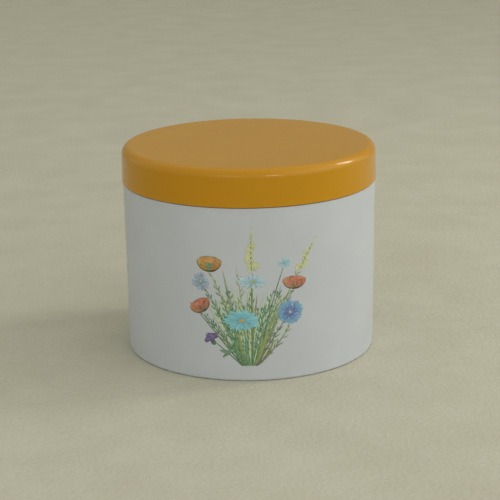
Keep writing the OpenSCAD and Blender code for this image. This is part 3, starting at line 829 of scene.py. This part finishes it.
def talcLumps(r, z, angle):
    # The top is lowered by soft lumps, fine crumbs and one scooped hollow exp(-(d / size)^2), and all of it
    # fades out towards the wall
    x, y = r * np.cos(angle), r * np.sin(angle)
    lower = talc["lump"] * (1 + ripple(x, y, talc["lumpSize"], 3))
    lower = lower + talc["crumb"] * (1 + ripple(x, y, talc["crumbSize"], 8, 24))
    away = np.hypot(x - talc["scoopPlace"][0], y - talc["scoopPlace"][1]) / talc["scoopSize"]
    lower = lower + talc["scoop"] * np.exp(-away ** 2)
    lower = lower * np.clip((talcRadius - r) / talc["calmEdge"], 0, 1)
    return r, z - np.where(z > talcTop - talc["edgeDrop"] - 0.3, lower, 0)


def powderSurface():
    # Loose talc: nearly white, faintly uneven, soft and dull
    material, tree, shader = newMaterial("loose_talc")
    spot = place(tree)
    shade = mapped(tree, noise(tree, spot, 0.35, 5, 0.65), 0.3, 0.7)
    grit = bumped(tree, noise(tree, spot, 3.0, 4, 0.7), 0.16)
    feed(tree, shader, baseColour=mixed(tree, shade, *(linear(*tint) for tint in talc["shades"])),
         normal=bumped(tree, noise(tree, spot, 0.8, 3, 0.6), 0.3, grit),
         roughness=mapped(tree, shade, 0.0, 1.0, 0.9, 1.0), specular=0.2, sheen=0.15)
    return material


def makeTalc():
    edge = talcTop - talc["edgeDrop"]
    foot = bowl["floorRadius"] - 0.2
    corners = [(0, talcLow, 0), (foot, talcLow, bowl["floorRound"]), (talcRadius, edge, 0.4),
               (talcRadius * 0.6, talcTop - 0.5, 6.0), (0, talcTop, 0)]
    points, faces = turnedGrid(rounded(corners, longest=talc["step"]), talc["sides"], talcLumps)
    return newPiece("loose_talc", points, faces, "bowl", powderSurface(), ["talc_fill"])


makeBowl()
makeTalc()
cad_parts["sifter_plate"].material_slots[0].material = sifterPlastic
print("bowl, talc and sifter built")


# Wad: a disc of white pulpboard pressed into the lid, marked by the rim that it seals

wad = {"print": 0.1, "printRadius": 47.2, "printWidth": 1.1, "soften": 0.18, "warp": 0.03, "warpSize": 30,
       "warpReach": 44, "sides": 200, "step": 0.8, "fibre": (0.25, 3.0, 3.0), "fibreTurns": (0.3, 1.4, 2.5),
       "board": (224, 221, 208), "stain": (212, 204, 182), "fibreTint": (190, 182, 160)}


def wadShape(r, z, angle):
    # Underneath, the bowl's rim has pressed a ring print * exp(-((r - R) / w)^4) up into the board, and
    # inside the ring the board has warped a little
    ring = wad["print"] * np.exp(-((r - wad["printRadius"]) / wad["printWidth"]) ** 4)
    below = z < (wadLow + wadTop) / 2
    slack = wad["warp"] * (1 + ripple(r * np.cos(angle), r * np.sin(angle), wad["warpSize"], 12))
    slack = slack * np.clip((wad["warpReach"] - r) / 6, 0, 1)
    return r, z + np.where(below, ring + slack, 0)


def pulpboard():
    material, tree, shader = newMaterial("pulpboard")
    spot = place(tree)
    fibres = [noise(tree, place(tree, wad["fibre"], turn), 1.0, 2, 0.6) for turn in wad["fibreTurns"]]
    mesh = maths(tree, "MAXIMUM", maths(tree, "MAXIMUM", fibres[0], fibres[1]), fibres[2])
    stain = mapped(tree, noise(tree, spot, 0.05, 4, 0.6), 0.4, 0.75)
    colour = mixed(tree, stain, linear(*wad["board"]), linear(*wad["stain"]))
    colour = mixed(tree, mapped(tree, mesh, 0.62, 0.8, 0.0, 0.35), colour, linear(*wad["fibreTint"]))
    soft = bumped(tree, noise(tree, spot, 1.5, 3), 0.04)
    feed(tree, shader, baseColour=colour, roughness=mapped(tree, mesh, 0.4, 0.8, 0.95, 0.8),
         normal=bumped(tree, mesh, 0.05, soft), specular=0.25)
    return material


def makeWad():
    soft = wad["soften"]
    corners = [(0, wadLow, 0), (wadRadius, wadLow, soft), (wadRadius, wadTop, soft), (0, wadTop, 0)]
    points, faces = turnedGrid(rounded(corners, longest=wad["step"]), wad["sides"], wadShape)
    return newPiece("lid_seal_board", points, faces, "lid", pulpboard(), ["lid_wad"])


makeWad()
print("seal board built")


# Puff: velour pad with a pile, satin back, twisted cord round the seam, ribbon strap with sewn ends

puff = {"start": 0.9, "sideRound": 4.1, "sides": 160, "voxel": 1.7, "pressure": 4.0, "quality": 6,
        "frames": 20, "cap": 1.1, "pucker": 0.14, "puckers": 46, "slack": 0.12, "rimStart": 30, "fill": 0.75,
        "pile": 0.55, "blades": 46000, "bladeWidth": 0.075, "bladeRoot": 0.06, "lean": 0.35,
        "cloth": ((226, 206, 166), (238, 222, 190)), "fleck": (190, 166, 120)}
padLow, padTop = puffLow + puff["pile"], satinLow + 0.1
padRadius = puffRadius - puff["pile"]


def replaceMesh(piece, subdivide=False):
    # Applies every modifier on the piece
    if subdivide:
        finish = piece.modifiers.new("finish", "SUBSURF")
        finish.levels = finish.render_levels = 1
    bpy.context.view_layer.update()
    mesh = bpy.data.meshes.new_from_object(piece.evaluated_get(bpy.context.evaluated_depsgraph_get()))
    piece.modifiers.clear()
    piece.data = mesh


def meshPoints(piece, field="co"):
    values = np.zeros(len(piece.data.vertices) * 3, np.float32)
    piece.data.vertices.foreach_get(field, values)
    return values.reshape(-1, 3).astype(float)


def setPoints(piece, points):
    piece.data.vertices.foreach_set("co", points.astype(np.float32).ravel())
    piece.data.update()


def inflate(piece):
    # Voxel remesh, then cloth blown up by a little pressure with no gravity. No point moves over the cap.
    remesh = piece.modifiers.new("remesh", "REMESH")
    remesh.mode, remesh.voxel_size, remesh.use_smooth_shade = "VOXEL", puff["voxel"] * mm, True
    replaceMesh(piece)
    before = meshPoints(piece)
    cloth = piece.modifiers.new("cloth", "CLOTH")
    cloth.settings.quality = puff["quality"]
    cloth.settings.use_pressure = True
    cloth.settings.uniform_pressure_force = puff["pressure"]
    cloth.settings.effector_weights.gravity = 0
    for step in range(1, puff["frames"] + 1):
        bpy.context.scene.frame_set(step)
    replaceMesh(piece)
    bpy.context.scene.frame_set(1)
    moved = meshPoints(piece) - before
    length = np.linalg.norm(moved, axis=1, keepdims=True) + 1e-12
    print("pad: largest move", round(float(length.max()) / mm, 2), "mm")
    setPoints(piece, before + moved * np.minimum(1, puff["cap"] * mm / length))


def gatherPad(piece):
    # The seam draws the side in under the cord: r shrinks by pucker * (0.5 + 0.5 cos(n a)) towards the top,
    # and slow ripples keep the pad from being perfectly round. The result stays inside the puff's own space.
    x, y, z = (meshPoints(piece) / mm).T
    r, angle = np.hypot(x, y), np.arctan2(y, x)
    rim = np.clip((r - puff["rimStart"]) / 6, 0, 1)
    high = np.clip((z - (padLow + padTop) / 2) / (padTop - padLow) * 2, 0, 1) * rim
    drawn = puff["pucker"] * (0.5 + 0.5 * np.cos(puff["puckers"] * angle + 2 * np.sin(3 * angle)))
    drawn = drawn * high + puff["slack"] * (1 + ripple(x, y, 26, 31)) * rim
    r2 = np.minimum(r - drawn, padRadius)
    lift = 0.1 * (1 + ripple(x, y, 13, 17)) * (z < padLow + 2)
    scale = r2 / np.maximum(r, 1e-6)
    setPoints(piece, np.stack([x * scale, y * scale, np.clip(z + lift, padLow, padTop)], -1) * mm)


def velour():
    # Cut pile cloth: soft cream, paler where powder has caught, with a sheen
    material, tree, shader = newMaterial("velour")
    spot = place(tree)
    colour = mixed(tree, mapped(tree, noise(tree, spot, 0.12, 4), 0.35, 0.7),
                   *(linear(*tint) for tint in puff["cloth"]))
    dust = maths(tree, "MULTIPLY", mapped(tree, noise(tree, spot, 0.3, 4, 0.6), 0.42, 0.7), 0.6)
    colour = mixed(tree, dust, colour, powder)
    fleck = mapped(tree, noise(tree, spot, 2.6, 2), 0.35, 0.7)
    colour = mixed(tree, maths(tree, "MULTIPLY", fleck, 0.3), colour, linear(*puff["fleck"]))
    feed(tree, shader, baseColour=colour, normal=bumped(tree, noise(tree, spot, 2.2, 3), 0.12),
         roughness=0.95, specular=0.15, sheen=0.5, sheenRoughness=0.4)
    return material


def makePad(material):
    start, soft = puff["start"], puff["sideRound"]
    low, top, radius = padLow + start * 0.5, padTop - start * 0.5, padRadius - start
    corners = [(0, low, 0), (radius, low, soft), (radius, top, soft - 1), (0, top, 0)]
    points, faces = turnedGrid(rounded(corners, longest=2.0), puff["sides"])
    piece = newPiece("velour_pad", points, faces, "puff", material,
                     ["puff_cover", "puff_filling"])
    inflate(piece)
    gatherPad(piece)
    replaceMesh(piece, subdivide=True)
    piece.data.polygons.foreach_set("use_smooth", np.ones(len(piece.data.polygons), bool))
    return piece


def makePile(pad, material):
    # Short blades rooted evenly over the pad's side and face. A blade is a slim three-sided spike along the
    # normal, leaned by a slow swirl and a random tilt, and kept off the sifter below and the cord above.
    pad.data.calc_loop_triangles()
    corners = np.zeros(len(pad.data.loop_triangles) * 3, np.int32)
    pad.data.loop_triangles.foreach_get("vertices", corners)
    a, b, c = (meshPoints(pad) / mm)[corners.reshape(-1, 3)].transpose(1, 0, 2)
    normal = np.cross(b - a, c - a)
    area = np.linalg.norm(normal, axis=1)
    keep = (a[:, 2] < pipingLow - 0.2) & (area > 1e-9)
    a, b, c, normal, area = a[keep], b[keep], c[keep], normal[keep], area[keep]
    rng = np.random.default_rng(77)
    pick = rng.choice(len(a), puff["blades"], p=area / area.sum())
    u, v = rng.uniform(0, 1, (2, puff["blades"], 1))
    u, v = np.where(u + v > 1, 1 - u, u), np.where(u + v > 1, 1 - v, v)
    root = a[pick] * (1 - u - v) + b[pick] * u + c[pick] * v
    out = normal[pick] / area[pick][:, None]
    swirl = ripple(root[:, 0], root[:, 1], 22, 51)[:, None] * 3
    tilt = np.concatenate([np.cos(swirl), np.sin(swirl), 0 * swirl], 1) + rng.normal(0, 0.7, root.shape)
    aim = out + puff["lean"] * tilt
    aim /= np.linalg.norm(aim, axis=1, keepdims=True)
    length = puff["pile"] * rng.uniform(0.7, 1.05, (len(root), 1))
    side = np.cross(aim, rng.normal(0, 1, root.shape))
    side /= np.linalg.norm(side, axis=1, keepdims=True)
    other = np.cross(aim, side)
    turn = np.arange(3) * 2 * math.pi / 3
    corner = side[:, None] * np.cos(turn)[:, None] + other[:, None] * np.sin(turn)[:, None]
    base = (root - out * puff["bladeRoot"])[:, None] + puff["bladeWidth"] * corner
    points = np.concatenate([base, (root + aim * length)[:, None]], 1)
    points[..., 2] = np.clip(points[..., 2], puffLow, pipingTop)
    reach = np.hypot(points[..., 0], points[..., 1])[..., None]
    points[..., :2] *= np.minimum(1, puffRadius / np.maximum(reach, 1e-9))
    spike = np.array([[0, 1, 3], [1, 2, 3], [2, 0, 3], [2, 1, 0]])
    faces = (spike + 4 * np.arange(len(root))[:, None, None]).reshape(-1, 3)
    pile = newPiece("velour_pile", points.reshape(-1, 3), faces, "puff", material)
    pile.data.polygons.foreach_set("use_smooth", np.zeros(len(faces), bool))
    return pile


satinBack = {"thick": 0.22, "lift": 0.2, "crown": 0.4, "pleats": 58, "pleatRise": 0.2, "wrinkle": 0.1,
             "wrinkleSize": 17, "sewnAt": 27.5, "sewnHalf": 4, "ease": 1.02, "sides": 384}


def makeSatin():
    # Round sheet z(r, a) = crown * (1 - (r / R)^2) + pleats that grow with (r / R)^4 towards the cord + slow
    # wrinkles, pressed flat where the strap is sewn down. The under side is the same, one thickness lower.
    steps = np.linspace(0, satinRadius, 64)
    form = satinBack

    def top(r, angle):
        share = r / satinRadius
        x, y = r * np.cos(angle), r * np.sin(angle)
        pleat = np.cos(form["pleats"] * angle + 3 * np.sin(2 * angle) + 4 * share)
        pleat = form["pleatRise"] * share ** 4 * pleat
        slow = form["wrinkle"] * ripple(x, y, form["wrinkleSize"], 23) * (1 - share ** 6)
        pressed = np.exp(-((np.abs(x) - form["sewnAt"]) / form["sewnHalf"]) ** 4) * (np.abs(y) < 11)
        level = satinLow + form["thick"] + form["lift"] + form["crown"] * (1 - share ** 2)
        return level + (pleat + slow) * (1 - pressed)

    def lay(r, z, angle):
        height = top(r, angle)
        return r, np.where(z > 0.5, height, height - form["thick"])

    path = np.concatenate([np.stack([steps, 0 * steps], -1), np.stack([steps[::-1], 1 + 0 * steps], -1)])
    points, faces = turnedGrid(path, form["sides"], lay)
    piece = newPiece("satin_back", points, faces, "puff", satinCloth(), ["puff_backing"])
    return piece


def satinCloth():
    # Satin: long floats along x and a fine tie pattern; the base colour is painted lighter along the floats as
    # a painted sheen
    material, tree, shader = newMaterial("satin_cloth")
    floatsAndSheen = noise(tree, place(tree, (0.8, 9.0, 1.0)), 1.0, 2)
    # painted sheen: the float streaks get a lighter base colour for the satin's shine along its floats
    colour = mixed(tree, mapped(tree, floatsAndSheen, 0.35, 0.65), linear(222, 196, 142), linear(240, 220, 172))
    dust = maths(tree, "MULTIPLY", mapped(tree, noise(tree, place(tree), 0.2, 5, 0.65), 0.5, 0.75), 0.35)
    weave = {"Vector": place(tree, (1, 1, 1), 0.5), "Scale": 1.1, "Distortion": 0.6}
    ties = addNode(tree, "ShaderNodeTexWave", weave, wave_type="BANDS").outputs["Fac"]
    feed(tree, shader, baseColour=mixed(tree, dust, colour, powder), anisotropic=0.5, sheen=0.2, specular=0.9,
         roughness=mapped(tree, floatsAndSheen, 0.3, 0.7, 0.22, 0.36),
         normal=bumped(tree, ties, 0.006, bumped(tree, floatsAndSheen, 0.01)))
    return material


def thread(name, tints, fibre, rough, shine):
    # Spun yarn or woven ribbon: fine lines that follow the piece's own length and width, in two close tints
    material, tree, shader = newMaterial(name)
    grain = addNode(tree, "ShaderNodeAttribute", attribute_name="grain").outputs["Vector"]
    lines = noise(tree, stretched(tree, grain, fibre), 1.0, 2)
    colour = mixed(tree, mapped(tree, lines, 0.3, 0.7), linear(*tints[0]), linear(*tints[1]))
    dust = maths(tree, "MULTIPLY", mapped(tree, noise(tree, place(tree), 0.35, 4, 0.6), 0.5, 0.75), 0.3)
    feed(tree, shader, baseColour=mixed(tree, dust, colour, powder), normal=bumped(tree, lines, 0.05),
         roughness=mapped(tree, lines, 0.3, 0.7, rough - 0.06, rough + 0.06), sheen=0.3, specular=shine)
    return material


def tubes(centres, normals, radius, sides, closed):
    # Round tubes along rows of points. A ring is C + radius * (N cos q + B sin q), where N is the given
    # normal made square to the path and B = T x N. Open tubes end in one point each.
    count, steps = centres.shape[:2]
    if closed:
        along = np.roll(centres, -1, 1) - np.roll(centres, 1, 1)
    else:
        along = np.gradient(centres, axis=1)
    along /= np.linalg.norm(along, axis=2, keepdims=True)
    normals = normals - along * (normals * along).sum(2, keepdims=True)
    normals /= np.linalg.norm(normals, axis=2, keepdims=True)
    other = np.cross(along, normals)
    q = np.linspace(0, 2 * math.pi, sides, endpoint=False)[:, None]
    rings = centres[:, :, None] + radius * (normals[:, :, None] * np.cos(q) + other[:, :, None] * np.sin(q))
    faces, points = gridFaces(steps, sides, wrapRows=closed), rings.reshape(count, -1, 3)
    total = steps * sides + (0 if closed else 2)
    shift = (np.arange(count) * total)[:, None, None]
    out = (faces + shift).reshape(-1, 4).tolist()
    if not closed:
        points = np.concatenate([points, centres[:, :1], centres[:, -1:]], 1)
        j = np.arange(sides)
        nextJ, last = (j + 1) % sides, (steps - 1) * sides
        caps = np.concatenate([np.stack([0 * j + total - 2, nextJ, j], -1),
                               np.stack([last + j, last + nextJ, 0 * j + total - 1], -1)])
        out += (caps + shift).reshape(-1, 3).tolist()
    return points.reshape(-1, 3), out


cord = {"strands": 3, "strandRadius": 0.44, "twistRadius": 0.41, "turns": 74, "stepsPerTurn": 11, "sides": 8}


def makeCord():
    # Each strand winds round the seam circle: C = seam(a) + twistRadius * (outward cos w + upward sin w),
    # where w = turns * a + a third of a turn for each strand
    seam, height = (satinRadius + pipingRadius) / 2 + 0.02, (pipingLow + pipingTop) / 2
    angle = np.linspace(0, 2 * math.pi, cord["turns"] * cord["stepsPerTurn"], endpoint=False)[None]
    wind = cord["turns"] * angle + np.arange(cord["strands"])[:, None] * 2 * math.pi / cord["strands"]
    outward = np.stack([np.cos(angle), np.sin(angle), 0 * angle], -1)
    away = outward * np.cos(wind)[..., None] + np.array([0, 0, 1.0]) * np.sin(wind)[..., None]
    centres = outward * seam + np.array([0, 0, height]) + cord["twistRadius"] * away
    points, faces = tubes(centres, away, cord["strandRadius"], cord["sides"], True)
    material = thread("cord_yarn", ((186, 130, 44), (214, 164, 78)), (0.5, 5.0, 1.0), 0.55, 0.5)
    piece = newPiece("twisted_cord", points, faces, "puff", material, ["puff_piping"])
    ring = np.linspace(0, 1, cord["sides"], endpoint=False)
    length = (angle * seam + 0 * wind)[..., None] + 0 * ring
    setGrain(piece, np.stack([length, 0 * length + ring * 2.8 + wind[..., None] * 0.2, 0 * length], -1))
    return piece


ribbon = {"thick": 0.4, "arch": 24.0, "rise": 6.35, "cup": 0.18, "ribPitch": 0.85, "ribRise": 0.035,
          "step": 0.17, "edge": 0.5, "selvedge": 0.04, "selvedgeWidth": 0.6}
strapWidth = 2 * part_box("puff_strap")[1].y / mm


def makeRibbon():
    # Profile carried along a path. Path: z = rise * (1 - (x / arch)^2)^2 over the arch and flat beyond it.
    # Section: a flat loop with rounded edges, cupped across the arch, ribbed by sin(2 pi s / pitch).
    x = np.linspace(-strapReach, strapReach, 1500)
    share = np.clip(1 - (x / ribbon["arch"]) ** 2, 0, 1)
    z = strapLow + ribbon["rise"] * share ** 2
    run = np.concatenate([[0], np.cumsum(np.hypot(np.diff(x), np.diff(z)))])
    s = np.linspace(0, run[-1], int(run[-1] / ribbon["step"]))
    x, z = np.interp(s, run, x), np.interp(s, run, z)
    share = np.clip(1 - (x / ribbon["arch"]) ** 2, 0, 1)[:, None]
    along = np.stack([np.gradient(x), np.gradient(z)], -1)
    along /= np.linalg.norm(along, axis=1, keepdims=True)
    up = np.stack([-along[:, 1], along[:, 0]], -1)
    half, thick = strapWidth / 2, ribbon["thick"] / 2
    across = np.linspace(-half + thick, half - thick, 30)
    bend = np.linspace(-math.pi / 2, math.pi / 2, 7)[1:-1]
    right = np.stack([half - thick + thick * np.cos(bend), thick * np.sin(bend)], -1)
    section = np.concatenate([np.stack([across, 0 * across - thick], -1), right,
                              np.stack([across[::-1], 0 * across + thick], -1), -right])
    y, h = section.T[:, None]
    ribs = ribbon["ribRise"] * np.sin(2 * math.pi * s / ribbon["ribPitch"])[:, None] * np.sign(h)
    selvedge = ribbon["selvedge"] * np.sign(h) * (np.abs(y) > half - ribbon["selvedgeWidth"])
    ribs = ribs * (np.abs(y) < half - ribbon["edge"]) + selvedge
    height = h + ribs - ribbon["cup"] * share * (y / half) ** 2
    points = np.stack([x[:, None] + up[:, :1] * height, y + 0 * height, z[:, None] + up[:, 1:] * height], -1)
    loop = len(section)
    faces = gridFaces(len(s), loop).tolist()
    faces += [list(range(loop))[::-1], [(len(s) - 1) * loop + k for k in range(loop)]]
    material = thread("ribbon_weave", ((188, 128, 34), (212, 156, 60)), (5.0, 1.2, 1.0), 0.48, 0.5)
    piece = newPiece("ribbon_strap", points.reshape(-1, 3), faces, "puff", material,
                     ["puff_strap"])
    setGrain(piece, np.stack([s[:, None] + 0 * height, y + 0 * height, 0 * height], -1))
    return piece


stitching = {"rows": (26.3, 29.6), "count": 8, "share": 0.66, "radius": 0.2, "rise": 0.16, "steps": 11,
             "sides": 6, "margin": 0.8, "wander": 0.05, "slant": 0.06}


def makeStitches():
    # A stitch is half an ellipse over the ribbon: y = L / 2 * cos(t), z = 1.5 * rise * sin(t), its ends sunk
    # in the cloth
    pitch = (strapWidth - 2 * stitching["margin"]) / stitching["count"]
    rows = np.array([sign * x for sign in (-1, 1) for x in stitching["rows"]])
    middle = (np.arange(stitching["count"]) - (stitching["count"] - 1) / 2) * pitch
    x, y = (g.reshape(-1, 1) for g in np.meshgrid(rows, middle, indexing="ij"))
    rng = np.random.default_rng(9)
    x = x + rng.normal(0, stitching["wander"], x.shape)
    y = y + rng.normal(0, stitching["wander"], y.shape)
    t = np.linspace(-0.25, math.pi + 0.25, stitching["steps"])[None]
    top = strapLow + ribbon["thick"] / 2 + 0.02
    slant = rng.normal(0, stitching["slant"], x.shape)
    centres = np.stack([x + slant * np.cos(t), y - stitching["share"] * pitch / 2 * np.cos(t),
                        top + stitching["rise"] * np.sin(t) * 1.5 - 0.06 + 0 * x], -1)
    normals = np.broadcast_to(np.array([1.0, 0, 0]), centres.shape)
    points, faces = tubes(centres, normals, stitching["radius"], stitching["sides"], False)
    material = thread("sewing_thread", ((206, 166, 92), (224, 190, 120)), (0.6, 6.0, 1.0), 0.5, 0.5)
    return newPiece("strap_stitches", points, faces, "puff", material, ["strap_stitching"])


pileCloth = velour()
makePile(makePad(pileCloth), pileCloth)
makeSatin()
makeCord()
makeRibbon()
makeStitches()
print("puff built")


# Studio: pale floor that sweeps up into a backdrop, lamps and camera. Places are in millimetres.

studio = {"eye": (0.0, -600.0, 210.5), "pitch": 16.03, "roll": -0.85, "lens": 110.0, "sensor": 36.0,
          "floorTint": (195, 193, 173), "floorCloud": (201, 200, 180), "aim": (0.0, 0.0, 60.0),
          "sweep": {"front": -1500.0, "bend": 1900.0, "round": 500.0, "top": 2300.0, "across": 2500.0},
          "skyLeft": 0.52, "skyRight": 0.73, "skyColour": (1.0, 0.98, 0.93),
          "lamps": {"window": {"spot": (669, 179, 480), "width": 135, "height": 240, "power": 1.15,
                               "colour": (1.0, 0.97, 0.92)},
                    "side": {"spot": (1520, -560, 1040), "width": 2080, "height": 1760, "power": 6.0,
                             "colour": (1.0, 0.98, 0.95)},
                    "frontLeft": {"spot": (-275, -800, 388), "width": 400, "height": 100, "power": 0.28,
                                  "colour": (1.0, 0.98, 0.95)},
                    "frontRight": {"spot": (321, -794, 358), "width": 220, "height": 100, "power": 0.48,
                                   "colour": (1.0, 0.98, 0.95)}}}


def floorSurface():
    material, tree, shader = newMaterial("studio_floor")
    cloud = mapped(tree, noise(tree, place(tree), 0.03, 5, 0.6), 0.3, 0.7)
    colour = mixed(tree, cloud, linear(*studio["floorTint"]), linear(*studio["floorCloud"]))
    feed(tree, shader, baseColour=colour, roughness=0.9, specular=0.2,
         normal=bumped(tree, noise(tree, place(tree), 0.5, 4, 0.6), 0.5))
    return material


def makeSweep():
    # Along y the floor runs level, bends up through a quarter circle and ends as a wall, and that line is
    # carried along x
    form = studio["sweep"]
    turn = np.linspace(0, math.pi / 2, 17)[1:]
    level, wall = np.linspace(form["front"], form["bend"], 25), np.linspace(form["round"], form["top"], 9)[1:]
    depth = np.concatenate([level, form["bend"] + form["round"] * np.sin(turn),
                            np.full(8, form["bend"] + form["round"])])
    height = np.concatenate([0 * level, form["round"] * (1 - np.cos(turn)), wall])
    across = np.linspace(-form["across"], form["across"], 11)
    points = np.stack(np.broadcast_arrays(across, depth[:, None], height[:, None]), -1)
    mesh = bpy.data.meshes.new("studio_sweep")
    faces = gridFaces(len(depth), len(across), wrapColumns=False)
    mesh.from_pydata((points.reshape(-1, 3) * mm).tolist(), [], faces.tolist())
    mesh.polygons.foreach_set("use_smooth", np.ones(len(mesh.polygons), bool))
    mesh.materials.append(floorSurface())
    sweep = bpy.data.objects.new("studio_sweep", mesh)
    bpy.context.scene.collection.objects.link(sweep)


def areaLight(name, look):
    lamp = bpy.data.lights.new(name, "AREA")
    lamp.shape, lamp.size, lamp.size_y = "RECTANGLE", look["width"] * mm, look["height"] * mm
    lamp.energy, lamp.color = look["power"], look["colour"]
    holder = bpy.data.objects.new(name, lamp)
    bpy.context.scene.collection.objects.link(holder)
    holder.location = Vector(look["spot"]) * mm
    sight = Vector(studio["aim"]) - Vector(look["spot"])
    holder.rotation_euler = sight.to_track_quat("-Z", "Y").to_euler()


def makeCamera():
    # Looks along +y, tipped down by the pitch, then turned about its own line of sight by the roll
    pitch, roll = math.radians(studio["pitch"]), math.radians(studio["roll"])
    eye = bpy.data.objects.new("camera", bpy.data.cameras.new("camera"))
    bpy.context.scene.collection.objects.link(eye)
    eye.matrix_world = (Matrix.Translation(Vector(studio["eye"]) * mm) @
                        Matrix.Rotation(math.pi / 2 - pitch, 4, "X") @ Matrix.Rotation(roll, 4, "Z"))
    eye.data.lens, eye.data.sensor_width = studio["lens"], studio["sensor"]
    bpy.context.scene.camera = eye


def makeSky():
    world = bpy.data.worlds.new("studio")
    bpy.context.scene.world = world
    world.use_nodes = True
    tree = world.node_tree
    sky = tree.nodes["Background"]
    sky.inputs["Color"].default_value = (*studio["skyColour"], 1)
    heading = addNode(tree, "ShaderNodeTexCoord").outputs["Generated"]
    heading = addNode(tree, "ShaderNodeSeparateXYZ", {0: heading})
    strength = mapped(tree, heading.outputs[0], -1.0, 1.0, studio["skyLeft"], studio["skyRight"])
    tree.links.new(strength, sky.inputs["Strength"])   # a little brighter from the window side


makeSweep()
makeSky()
for lampName, lampLook in studio["lamps"].items():
    areaLight(lampName, lampLook)
makeCamera()
bpy.context.scene.view_settings.view_transform = "Standard"
print("stage, lights and camera set")
